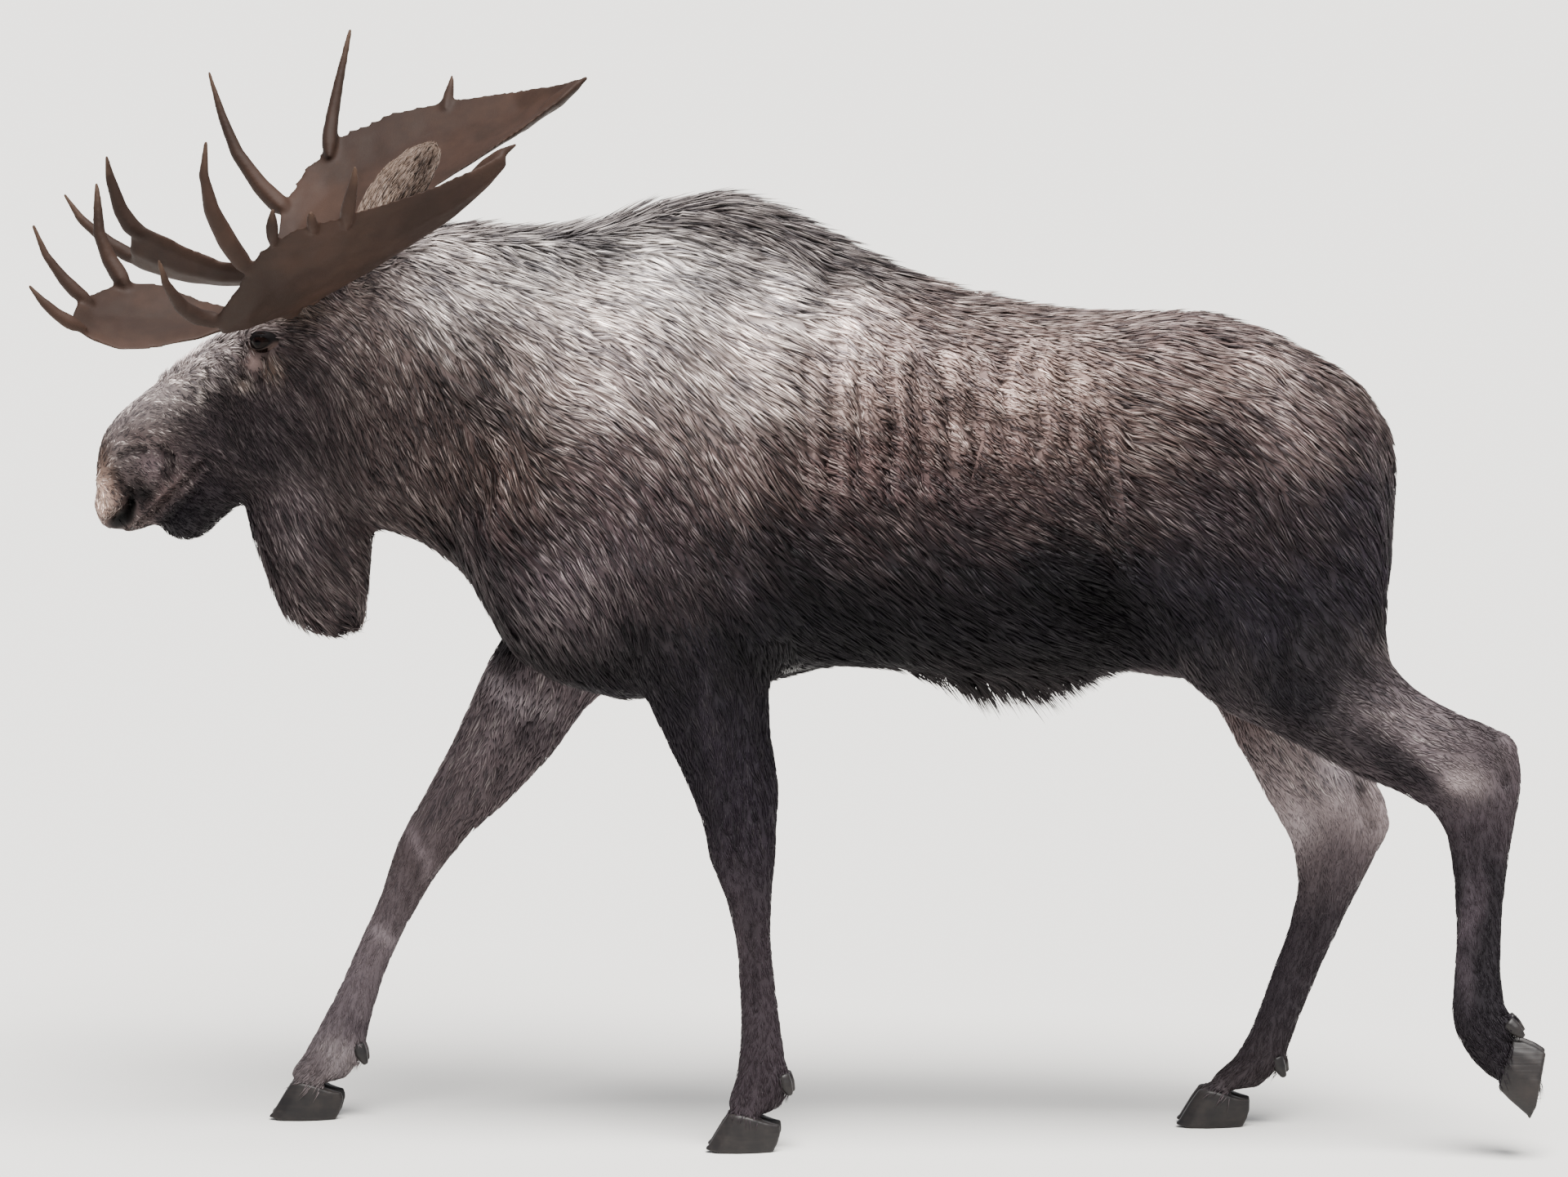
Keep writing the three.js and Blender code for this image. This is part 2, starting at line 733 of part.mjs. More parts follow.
let body = join([
  trunk(),
  neck(),
  head(),
  bell(),
  tail(),
  ear(LEFT),
  ear(RIGHT),
  leg(FORE_LEFT, LEFT, [-110, -110, 1800], [-60, -168, 70]),
  leg(FORE_RIGHT, RIGHT, [-150, 110, 1800], [-1015, 170, 70]),
  leg(HIND_LEFT, LEFT, [1000, -90, 1715], [1527, -180, 206]),
  leg(HIND_RIGHT, RIGHT, [960, 90, 1715], [948, 182, 70]),
]);
for (const centre of EYES) body = body.subtract(ball(centre, EYE_RADIUS + GAP, EYE_FACETS));

// Takes a named piece off the body.
function release(name, material, cut) {
  const [piece, rest] = part(body, cut);
  body = rest;
  keep(name, piece, material);
}

for (const [side, name] of [
  [LEFT, "left"],
  [RIGHT, "right"],
]) {
  keep("eye_" + name, ball(EYES[side === LEFT ? 0 : 1], EYE_RADIUS, EYE_FACETS), EYE);
  release("ear_" + name, COAT, {
    at: earPoint(side, EAR_CUT),
    normal: vec(earPoint(side, EAR_TIP)).sub(vec(earPoint(side, EAR_CUT))).toArray(),
    axis: [1, 0, 0],
    reach: [72, 46],
    depth: 320,
  });
}

const MOUTH_CORNER = [-1208, 0, 1434];
const MOUTH_LINE = [-0.687, 0, -0.727];
release("bell", DARK_COAT, {
  at: turned([-1008, 0, 1317]),
  normal: [-0.116, 0, -0.993],
  axis: [1, 0, 0],
  reach: [152, 130],
  depth: 420,
});
release("lower_jaw", DARK_COAT, {
  at: turned(vec(MOUTH_CORNER).addScaledVector(vec(MOUTH_LINE), 105).toArray()),
  normal: [0.727, 0, -0.687],
  axis: MOUTH_LINE,
  reach: [105, 130],
  depth: 210,
});
release("head", COAT, {
  at: turned([-918, 0, 1600]),
  normal: [-1, 0, 0.05],
  axis: [0, 1, 0],
  reach: [300, 420],
  depth: 700,
});
release("neck", COAT, {
  at: [-548, 0, 1544],
  normal: [-0.973, 0, 0.228],
  axis: [0, 1, 0],
  reach: [400, 600],
  depth: 620,
});
release("tail", DARK_COAT, {
  at: [1258, 0, 1470],
  normal: [1, 0, -0.15],
  axis: [0, 1, 0],
  reach: [46, 110],
  depth: 90,
});

// Each leg: where it leaves the trunk, and its cuts above the knee or hock and the fetlock,
// then the toe's tip, the hoof's pitch and the roots of the dewclaws.
const LEGS = [
  {
    name: "fore_leg_left",
    side: LEFT,
    off: { at: [-160, -212, 1010], normal: [0.05, 0, -1], reach: [210, 128], depth: 1200 },
    joint: { at: [-80, -165, 640], normal: [0.1, 0, -0.99], reach: [170, 100], depth: 800 },
    fetlock: { at: [-38, -165, 226], normal: [0, 0, -1], reach: [140, 90], depth: 300 },
    toe: [-160, -168, 0],
    pitch: 0,
    dewclaw: { root: [14, 168], lean: [0.4, -0.9] },
  },
  {
    name: "fore_leg_right",
    side: RIGHT,
    off: { at: [-480, 212, 990], normal: [-0.307, 0, -0.951], reach: [330, 128], depth: 1300 },
    joint: { at: [-748, 168, 625], normal: [-0.55, 0, -0.83], reach: [270, 100], depth: 850 },
    fetlock: { at: [-945, 168, 236], normal: [-0.4, 0, -0.92], reach: [170, 90], depth: 300 },
    toe: [-1118, 170, 0],
    pitch: 0,
    dewclaw: { root: [-908, 160], lean: [0.4, -0.9] },
  },
  {
    name: "hind_leg_left",
    side: LEFT,
    off: { at: [1110, -212, 1077], normal: [0.2, 0, -0.98], reach: [560, 148], depth: 1300 },
    joint: { at: [1395, -180, 855], normal: [0.8, 0, -0.6], reach: [620, 100], depth: 850 },
    fetlock: { at: [1462, -180, 330], normal: [0, 0, -1], reach: [150, 90], depth: 320 },
    toe: [1582, -180, 84],
    pitch: THREE.MathUtils.degToRad(-80),
    dewclaw: { root: [1536, 304], lean: [0.75, -0.66] },
  },
  {
    name: "hind_leg_right",
    side: RIGHT,
    off: { at: [985, 212, 1060], normal: [0.2, 0, -0.98], reach: [420, 148], depth: 1300 },
    joint: { at: [1140, 180, 722], normal: [0, 0, -1], reach: [340, 100], depth: 800 },
    fetlock: { at: [1045, 180, 240], normal: [-0.3, 0, -0.95], reach: [210, 90], depth: 320 },
    toe: [826, 182, 0],
    pitch: 0,
    dewclaw: { root: [1056, 158], lean: [0.4, -0.9] },
  },
];

for (const { name, off, joint, fetlock, toe, pitch, dewclaw: spur } of LEGS) {
  const axis = [1, 0, 0];
  const [whole, rest] = part(body, { ...off, axis });
  body = rest;
  const [lower, upper] = part(whole, { ...joint, axis });
  const [foot, cannon] = part(lower, { ...fetlock, axis });
  keep(name + "_upper", upper, DARK_COAT);
  keep(name + "_cannon", cannon, PALE_COAT);

  const up = new THREE.Vector3(0, 0, 1).applyAxisAngle(new THREE.Vector3(0, 1, 0), pitch);
  const back = new THREE.Vector3(1, 0, 0).applyAxisAngle(new THREE.Vector3(0, 1, 0), pitch);
  const coronet = vec(toe).addScaledVector(up, HOOF_HEIGHT).addScaledVector(back, 92);
  const sole = { normal: up.clone().negate().toArray(), axis: back.toArray() };
  let [, pastern] = part(foot, { at: coronet.toArray(), ...sole, reach: [88, 90], depth: 160 });

  for (const [offset, place] of [
    [-1, "outer"],
    [1, "inner"],
  ]) {
    const sideways = offset * Math.sign(-toe[1]);
    const tip = [toe[0], toe[1] + sideways * HOOF_SPREAD, toe[2]];
    const hoof = claw(tip, -sideways, pitch);
    keep(name + "_hoof_" + place, hoof, HORN);
    const root = [spur.root[0], toe[1] + sideways * 27, spur.root[1]];
    const lean = [spur.lean[0], sideways * 0.2, spur.lean[1]];
    pastern = main(pastern.subtract(dewclaw(root, lean, GAP)));
    keep(name + "_dewclaw_" + place, dewclaw(root, lean, 0), HORN);
  }
  keep(name + "_pastern", pastern, PALE_COAT);
}

// ---------------------------------------------------------------- antlers, parted at the forks

// Thin cuts across each antler, one where the brow palm leaves the beam and one at the main palm.
const BROW_FORK = { at: [-1092, 195, 1785], normal: [-1, 0.25, 0], reach: [90, 75] };
const PALM_FORK = { at: [-1012, 213, 1795], normal: [0, 1, 0], reach: [80, 60] };

for (const [side, name, palm, tines, brow, browTines] of [
  [LEFT, "left", LEFT_PALM, LEFT_TINES, LEFT_BROW, LEFT_BROW_TINES],
  [RIGHT, "right", RIGHT_PALM, RIGHT_TINES, RIGHT_BROW, RIGHT_BROW_TINES],
]) {
  const { whole, burr, outward } = antler(side, palm, tines, brow, browTines);
  const seat = { at: burr.toArray(), axis: [0, 0, 1], reach: [64, 64] };
  const inward = outward.clone().negate().toArray();
  const bare = whole.subtract(cutter(seat.at, inward, seat.axis, seat.reach, 90, -GAP));
  const slab = ({ at, normal, reach }) =>
    cutter(mirror(side, at), mirror(side, normal), [0, 0, 1], reach, GAP, 0);
  const bodies = bare
    .subtract(slab(BROW_FORK))
    .subtract(slab(PALM_FORK))
    .decompose()
    .filter((piece) => piece.volume() > CRUMB);
  // The brow palm reaches furthest forwards, then the main palm, then the beam.
  bodies.sort((a, b) => a.boundingBox().min[0] - b.boundingBox().min[0]);
  ["brow", "palm", "beam"].forEach((kind, i) => {
    keep("antler_" + name + "_" + kind, bodies[i], ANTLER);
  });
}
keep("trunk", body, COAT);

// ---------------------------------------------------------------- the group, with its origin
// on the floor under the middle of its box

const span = new THREE.Box3();
for (const { solid } of pieces) {
  const { min, max } = solid.boundingBox();
  span.union(new THREE.Box3(vec(min), vec(max)));
}
const origin = span.getCenter(new THREE.Vector3()).setZ(span.min.z);

const moose = new THREE.Group();
for (const { name, solid, material } of pieces) {
  const { vertProperties, numProp, triVerts } = solid.getMesh();
  const geometry = new THREE.BufferGeometry();
  const xyz = [];
  for (let i = 0; i < vertProperties.length; i += numProp) {
    xyz.push(vertProperties[i], vertProperties[i + 1], vertProperties[i + 2]);
  }
  geometry.setAttribute("position", new THREE.Float32BufferAttribute(xyz, 3));
  geometry.setIndex(new THREE.BufferAttribute(triVerts, 1));
  geometry.translate(-origin.x, -origin.y, -origin.z);
  const mesh = new THREE.Mesh(geometry, material);
  mesh.name = name;
  moose.add(mesh);
}

export default moose;
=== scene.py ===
"""Looks of a life-size bull moose at a walk, standing as a museum figure stands.

One skin takes the place of the flesh. A coat of solid tufts lies over it, and the antlers, hooves,
dewclaws, eyes and eyelids are pieces of their own. Everything is in metres, in the part's own frame.
"""

import logging
import math
from dataclasses import dataclass, field
from enum import Enum
from typing import Any, Callable, Iterable, Sequence

import bmesh
import bpy
import numpy as np
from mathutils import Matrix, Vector
from mathutils.bvhtree import BVHTree
from mathutils.kdtree import KDTree


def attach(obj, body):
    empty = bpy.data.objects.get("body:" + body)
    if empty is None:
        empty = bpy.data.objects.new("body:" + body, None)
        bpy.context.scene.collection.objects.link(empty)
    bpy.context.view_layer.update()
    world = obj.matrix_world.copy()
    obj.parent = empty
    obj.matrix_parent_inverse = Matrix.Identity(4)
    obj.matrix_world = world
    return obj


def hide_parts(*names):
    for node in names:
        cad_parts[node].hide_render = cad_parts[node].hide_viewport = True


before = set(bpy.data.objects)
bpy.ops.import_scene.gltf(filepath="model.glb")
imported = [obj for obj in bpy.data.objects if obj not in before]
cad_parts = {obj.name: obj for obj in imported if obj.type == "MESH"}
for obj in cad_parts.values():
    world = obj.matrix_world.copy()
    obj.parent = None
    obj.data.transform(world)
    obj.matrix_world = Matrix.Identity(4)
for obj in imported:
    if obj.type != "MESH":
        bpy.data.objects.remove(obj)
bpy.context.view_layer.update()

LOG = logging.getLogger("moose")
SEED = 20

MILLIMETRE = 0.001
# The part's tables are drawn about the body's own middle; this is where the frame's origin lies there.
ORIGIN = np.array([0.01945, -0.02000, 0.0])
MIDDLE_Y = -ORIGIN[1]
# The head's tables are drawn with the head straight; it is then turned about an upright axis here.
HEAD_TURN = math.radians(-6)
HEAD_PIVOT = np.array([-0.900, 0.0, 0.0])
# All the horn of the feet lies below this height.
HORN_TOP = 0.36
# Corners of the CAD's loose triangles that are nearer than this are one corner.
MERGE = 1e-5

Array = np.ndarray
Colour = Triple = tuple[float, float, float]
Mesh = bpy.types.Mesh


# ---------------- numbers and arrays


def linear(red: float, green: float, blue: float) -> Colour:
    """Turns a screen colour, 0 to 255, into linear light."""
    values = [channel / 255 for channel in (red, green, blue)]
    return tuple(v / 12.92 if v <= 0.04045 else ((v + 0.055) / 1.055) ** 2.4 for v in values)


def smoothstep(low: float, high: float, values: Array) -> Array:
    """Rises smoothly from 0 at low to 1 at high."""
    t = np.clip((values - low) / (high - low), 0, 1)
    return t * t * (3 - 2 * t)


def unit(vectors: Array) -> Array:
    """Rows scaled to length 1; a row of zeros stays as it is."""
    length = np.linalg.norm(vectors, axis=-1, keepdims=True)
    return vectors / np.maximum(length, 1e-9)


def placed(points: Iterable[Sequence[float]]) -> Array:
    """Points of the part's tables, in millimetres, in the frame in metres."""
    return np.array(list(points), float).reshape(-1, 3) * MILLIMETRE - ORIGIN


def turn(vectors: Array, angle: float) -> Array:
    """Vectors turned about the upright axis."""
    c, s = math.cos(angle), math.sin(angle)
    x, y, z = np.moveaxis(vectors, -1, 0)
    return np.stack([c * x - s * y, s * x + c * y, z], axis=-1)


def head_to_frame(points: Array) -> Array:
    """Points of the straight head, in metres, put where the turned head has them."""
    return turn(points - HEAD_PIVOT, HEAD_TURN) + HEAD_PIVOT - ORIGIN


def frame_to_head(points: Array) -> Array:
    """Points of the frame as they would be on the straight head."""
    return turn(points + ORIGIN - HEAD_PIVOT, -HEAD_TURN) + HEAD_PIVOT


def ripple(points: Array, wavelength: float, seed: int, waves: int = 7) -> Array:
    """A smooth random field with about unit spread, made of a few crossing waves.

    Args:
        points: where it is wanted, one row each.
        wavelength: the size of its features, in metres.
        seed: which field.
        waves: how many waves cross.

    Returns:
        One value for each row.
    """
    rng = np.random.default_rng(seed)
    directions = unit(rng.normal(size=(waves, 3)))
    pace = 2 * math.pi / wavelength * rng.uniform(0.6, 1.5, waves)
    phase = rng.uniform(0, 2 * math.pi, waves)
    return np.sin(points @ (directions * pace[:, None]).T + phase).sum(1) * math.sqrt(2 / waves)


def along_surface(flow: Array, normals: Array) -> Array:
    """Directions with the part that leaves the surface taken off."""
    return flow - normals * (flow * normals).sum(1, keepdims=True)


def swung(flow: Array, across: Array, angle: Array) -> Array:
    """Directions swung by an angle each towards those across them."""
    return flow * np.cos(angle)[:, None] + across * np.sin(angle)[:, None]


def blended(tone: Array, cover: Array, colour: Any) -> Array:
    """Tones moved towards a colour, all the way where the cover is 1."""
    return tone + cover[:, None] * (np.asarray(colour) - tone)


def graded(at: Array, stops: Sequence[float], colours: Sequence[Colour]) -> Array:
    """Screen colours that are given at the stops, read between them in linear light."""
    rows = np.array([linear(*colour) for colour in colours])
    return np.stack([np.interp(at, stops, rows[:, k]) for k in range(3)], axis=1)


def point_tree(points: Array, labels: Iterable[int] | None = None) -> KDTree:
    """A search tree over points, each known by its label, or else by its row."""
    tree = KDTree(len(points))
    for label, point in zip(range(len(points)) if labels is None else labels, points):
        tree.insert(point, int(label))
    tree.balance()
    return tree


# ---------------- meshes


def read_rows(items: Any, name: str, width: int, kind: type) -> Array:
    """One property of all the items, as rows."""
    flat = np.empty(len(items) * width, kind)
    items.foreach_get(name, flat)
    return flat.reshape(-1, width)


def read_points(mesh: Mesh) -> Array:
    """The mesh's vertices as rows."""
    return read_rows(mesh.vertices, "co", 3, np.float32).astype(float)


def read_normals(mesh: Mesh) -> Array:
    """The mesh's vertex normals as rows."""
    return read_rows(mesh.vertex_normals, "vector", 3, np.float32).astype(float)


def read_edges(mesh: Mesh) -> Array:
    """The mesh's edges as pairs of vertices."""
    return read_rows(mesh.edges, "vertices", 2, np.int32)


def write_points(mesh: Mesh, points: Array) -> None:
    """Moves the mesh's vertices."""
    mesh.vertices.foreach_set("co", points.astype(np.float32).ravel())
    mesh.update()


def diffuse(values: Array, edges: Array, rounds: int, share: float = 0.5) -> Array:
    """Spreads values over a mesh, each round moving every vertex towards its neighbours' mean."""
    count = len(values)
    ends = np.concatenate([edges[:, 0], edges[:, 1]])
    others = np.concatenate([edges[:, 1], edges[:, 0]])
    degree = np.maximum(np.bincount(ends, minlength=count), 1)
    columns = values.reshape(count, -1).astype(float)
    for _ in range(rounds):
        for k in range(columns.shape[1]):
            mean = np.bincount(ends, columns[others, k], count) / degree
            columns[:, k] += share * (mean - columns[:, k])
    return columns.reshape(values.shape)


def set_attribute(mesh: Mesh, name: str, values: Array) -> None:
    """Stores a number or a vector at each vertex."""
    kind, key = ("FLOAT", "value") if values.ndim == 1 else ("FLOAT_VECTOR", "vector")
    attribute = mesh.attributes.new(name, kind, "POINT")
    attribute.data.foreach_set(key, values.astype(np.float32).ravel())


def new_object(name: str, data: bpy.types.ID) -> bpy.types.Object:
    """A new object in the scene."""
    obj = bpy.data.objects.new(name, data)
    bpy.context.scene.collection.objects.link(obj)
    return obj


def made_mesh(bm: bmesh.types.BMesh, name: str) -> Mesh:
    """A new mesh of what a bmesh holds; the bmesh is freed."""
    mesh = bpy.data.meshes.new(name)
    bm.to_mesh(mesh)
    bm.free()
    return mesh


def triangle_mesh(name: str, points: Array, triangles: Array) -> Mesh:
    """A mesh of many small joined solids, from its vertices and triangles."""
    mesh = bpy.data.meshes.new(name)
    mesh.vertices.add(len(points))
    mesh.vertices.foreach_set("co", points.astype(np.float32).ravel())
    mesh.loops.add(triangles.size)
    mesh.loops.foreach_set("vertex_index", triangles.astype(np.int32).ravel())
    mesh.polygons.add(len(triangles))
    mesh.polygons.foreach_set("loop_start", np.arange(0, triangles.size, 3, dtype=np.int32))
    mesh.update(calc_edges=True)
    return mesh


def merged_copy(nodes: Iterable[str]) -> tuple[Mesh, Array]:
    """The CAD nodes' meshes in one new mesh, with their loose triangles merged.

    Args:
        nodes: names of CAD nodes.

    Returns:
        The mesh, and for each of its faces the place of its node in the list.
    """
    whole = bmesh.new()
    owners: list[int] = []
    for index, node in enumerate(nodes):
        piece = bmesh.new()
        piece.from_mesh(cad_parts[node].data)
        bmesh.ops.remove_doubles(piece, verts=piece.verts, dist=MERGE)
        copy = made_mesh(piece, node + "_copy")
        owners += [index] * len(copy.polygons)
        whole.from_mesh(copy)
        bpy.data.meshes.remove(copy)
    return made_mesh(whole, "merged"), np.array(owners)


def joined(meshes: Iterable[Mesh]) -> Mesh:
    """All the meshes in one new mesh."""
    whole = bmesh.new()
    for piece in meshes:
        whole.from_mesh(piece)
    return made_mesh(whole, "joined")


def applied(obj: bpy.types.Object) -> Mesh:
    """The object's mesh with its modifiers applied; the object itself is removed."""
    depsgraph = bpy.context.evaluated_depsgraph_get()
    mesh = bpy.data.meshes.new_from_object(obj.evaluated_get(depsgraph))
    old = obj.data
    bpy.data.objects.remove(obj)
    bpy.data.meshes.remove(old)
    return mesh


def remeshed(mesh: Mesh, voxel: float) -> Mesh:
    """The mesh wrapped again in even faces of the voxel's size."""
    obj = new_object("remesh", mesh)
    modifier = obj.modifiers.new("voxels", "REMESH")
    modifier.mode = "VOXEL"
    modifier.voxel_size = voxel
    return applied(obj)


def weigh(obj: bpy.types.Object, modifier: bpy.types.Modifier, weights: Array) -> None:
    """Makes a modifier act most where the weights are 1."""
    group = obj.vertex_groups.new(name=modifier.name)
    for value in np.unique(weights):
        group.add(np.flatnonzero(weights == value).tolist(), float(value), "REPLACE")
    modifier.vertex_group = group.name


def eased(mesh: Mesh, rounds: int, weights: Array | None = None) -> Mesh:
    """The mesh smoothed, most where the weights are 1."""
    obj = new_object("ease", mesh)
    modifier = obj.modifiers.new("smooth", "SMOOTH")
    modifier.factor = 0.5
    modifier.iterations = rounds
    if weights is not None:
        weigh(obj, modifier, weights)
    return applied(obj)


def thinned(mesh: Mesh, ratio: float, weights: Array) -> Mesh:
    """The mesh with fewer triangles, thinned most where the weights are 1."""
    obj = new_object("thin", mesh)
    modifier = obj.modifiers.new("collapse", "DECIMATE")
    modifier.ratio = ratio
    weigh(obj, modifier, weights)
    modifier.vertex_group_factor = 20.0
    return applied(obj)


def keep_largest(mesh: Mesh) -> None:
    """Removes every loose piece but the largest."""
    bm = bmesh.new()
    bm.from_mesh(mesh)
    left = set(bm.verts)
    pieces: list[list[bmesh.types.BMVert]] = []
    while left:
        queue = [left.pop()]
        piece = []
        while queue:
            vertex = queue.pop()
            piece.append(vertex)
            for edge in vertex.link_edges:
                other = edge.other_vert(vertex)
                if other in left:
                    left.remove(other)
                    queue.append(other)
        pieces.append(piece)
    pieces.sort(key=len)
    for piece in pieces[:-1]:
        bmesh.ops.delete(bm, geom=piece, context="VERTS")
    bm.to_mesh(mesh)
    bm.free()


def tree_of(mesh: Mesh) -> BVHTree:
    """A search tree over the mesh's faces."""
    points = [tuple(p) for p in read_points(mesh)]
    return BVHTree.FromPolygons(points, [tuple(p.vertices) for p in mesh.polygons])


def laid_on(mesh: Mesh, form: BVHTree) -> None:
    """Moves every vertex to the nearest place on a form, so that no voxel steps are left."""
    write_points(mesh, np.array([form.find_nearest(tuple(p))[0] for p in read_points(mesh)]))


def restore(mesh: Mesh, form: BVHTree, rounds: int) -> None:
    """Gives back the bulk that smoothing took, without the facets of the form it came from.

    Args:
        mesh: the smoothed mesh, changed in place.
        form: search tree of the form before smoothing.
        rounds: how widely the gap between the two is evened out.
    """
    places = read_points(mesh)
    normals = read_normals(mesh)
    nearest = np.array([form.find_nearest(tuple(place))[0] for place in places])
    gap = diffuse(((nearest - places) * normals).sum(1), read_edges(mesh), rounds)
    write_points(mesh, places + normals * gap[:, None])


def wrapped(form: Mesh, voxel: float, rounds: int, spread: int) -> Mesh:
    """A smooth surface wrapped round a form, with the form's bulk.

    Args:
        form: the CAD pieces in one mesh, which stays as it is.
        voxel: the size of the new faces.
        rounds: how often the surface is smoothed.
        spread: how widely the gap to the form is evened out.

    Returns:
        The new mesh.
    """
    tree = tree_of(form)
    mesh = remeshed(form.copy(), voxel)
    keep_largest(mesh)
    laid_on(mesh, tree)
    mesh = eased(mesh, rounds)
    restore(mesh, tree, spread)
    return mesh


def finish_piece(
    obj: bpy.types.Object, material: bpy.types.Material, replaces: Sequence[str] = ()
) -> bpy.types.Object:
    """Dresses a piece and ties it to the part."""
    obj.data.materials.clear()
    obj.data.materials.append(material)
    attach(obj, "root")
    if replaces:
        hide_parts(*replaces)
    LOG.info("%s: %d faces", obj.name, len(obj.data.polygons))
    return obj


# ---------------- regions of the body


class Region(Enum):
    """The stretches of the body that differ in hair."""

    TRUNK = 0
    NECK = 1
    HEAD = 2
    JAW = 3
    BELL = 4
    EAR = 5
    TAIL = 6
    UPPER_LEG = 7
    CANNON = 8
    PASTERN = 9


LEGS = ("fore_leg_left", "fore_leg_right", "hind_leg_left", "hind_leg_right")
HOOF_PITCH = {"hind_leg_left": -80.0}

FLESH: dict[str, Region] = {
    "trunk": Region.TRUNK,
    "neck": Region.NECK,
    "head": Region.HEAD,
    "lower_jaw": Region.JAW,
    "bell": Region.BELL,
    "ear_left": Region.EAR,
    "ear_right": Region.EAR,
    "tail": Region.TAIL,
    **{f"{leg}_upper": Region.UPPER_LEG for leg in LEGS},
    **{f"{leg}_cannon": Region.CANNON for leg in LEGS},
    **{f"{leg}_pastern": Region.PASTERN for leg in LEGS},
}
NODES = list(FLESH)
NODE_REGIONS = np.array([region.value for region in FLESH.values()])
FACE = (Region.HEAD, Region.JAW)
TORSO = (Region.TRUNK, Region.NECK)


@dataclass(frozen=True)
class Pelt:
    """How the hair grows on one region, and how the flesh under it is smoothed.

    The lengths are in metres; contrast, ease and thin run from 0 to 1, and so does free, which says
    how freely the hair leaves a surface that curves away under it.
    """

    length: float
    width: float
    spacing: float
    lift: float
    depth: float
    contrast: float
    ease: float
    thin: float
    free: float = 0.35


PELTS: dict[Region, Pelt] = {
    Region.TRUNK: Pelt(0.064, 0.0042, 0.0089, 0.0070, 0.011, 0.60, 1.0, 1.0),
    Region.NECK: Pelt(0.064, 0.0042, 0.0084, 0.0080, 0.011, 0.62, 0.8, 1.0),
    Region.HEAD: Pelt(0.021, 0.0023, 0.0052, 0.0034, 0.005, 0.55, 0.10, 0.0, 0.15),
    Region.JAW: Pelt(0.021, 0.0024, 0.0058, 0.0036, 0.005, 0.45, 0.10, 0.0, 0.55),
    Region.BELL: Pelt(0.085, 0.0040, 0.0062, 0.0090, 0.011, 0.70, 0.35, 1.0, 0.95),
    Region.EAR: Pelt(0.034, 0.0024, 0.0036, 0.0016, 0.002, 0.22, 0.05, 0.0),
    Region.TAIL: Pelt(0.045, 0.0040, 0.0070, 0.0060, 0.008, 0.7, 0.3, 0.5),
    Region.UPPER_LEG: Pelt(0.030, 0.0030, 0.0077, 0.0026, 0.005, 0.28, 0.50, 0.8),
    Region.CANNON: Pelt(0.017, 0.0022, 0.0061, 0.0014, 0.002, 0.11, 0.34, 0.3, 0.15),
    Region.PASTERN: Pelt(0.019, 0.0023, 0.0056, 0.0020, 0.002, 0.13, 0.32, 0.2, 0.15),
}


def pelt_field(regions: Array, pick: Callable[[Pelt], float]) -> Array:
    """One size of the pelt at each vertex."""
    return np.array([pick(PELTS[region]) for region in Region])[regions]


def within(regions: Array, *wanted: Region) -> Array:
    """True at the vertices in any of the wanted regions."""
    return np.isin(regions, [region.value for region in wanted])


def on_part(nodes: Array, start: str) -> Array:
    """True at the vertices whose CAD node's name starts so."""
    return np.array([name.startswith(start) for name in NODES])[nodes]


# ---------------- folds and swellings


@dataclass(frozen=True)
class Stroke:
    """A ridge or groove drawn on the side of the body or of the head.

    Its points are (x, z) pairs in metres; height is above 0 for a ridge and below 0 for a groove.
    Its share of shade says how strongly it also paints light and shade on the coat: paler on a ridge,
    darker in a groove.
    """

    points: tuple[tuple[float, float], ...]
    width: float
    height: float
    whole: bool = False
    shade_share: float = 0.35

    def press(self, places: Array, facing: Array) -> Array:
        """How far each place moves out of the surface; a whole stroke goes right round the form."""
        distance = np.full(len(places), np.inf)
        line = np.array(self.points, float)
        if len(line) == 1:
            distance = np.linalg.norm(places - line[0], axis=1)
        for a, b in zip(line[:-1], line[1:]):
            step = b - a
            t = np.clip((places - a) @ step / (step @ step), 0, 1)
            distance = np.minimum(distance, np.linalg.norm(places - a - t[:, None] * step, axis=1))
        form = self.height * np.exp(-((distance / self.width) ** 2))
        return form if self.whole else form * facing


FOLD_STEPS = 9
FOLD_SWAY = 0.007
FOLD_PACE = 9.0


def wavy(x: float, top: float, low: float, lean: float, phase: float) -> tuple:
    """The line of one fold of loose skin, from top to low."""
    shares = [step / FOLD_STEPS for step in range(FOLD_STEPS + 1)]
    return tuple(
        (x + lean * t + FOLD_SWAY * math.sin(phase + t * FOLD_PACE), top + (low - top) * t)
        for t in shares
    )

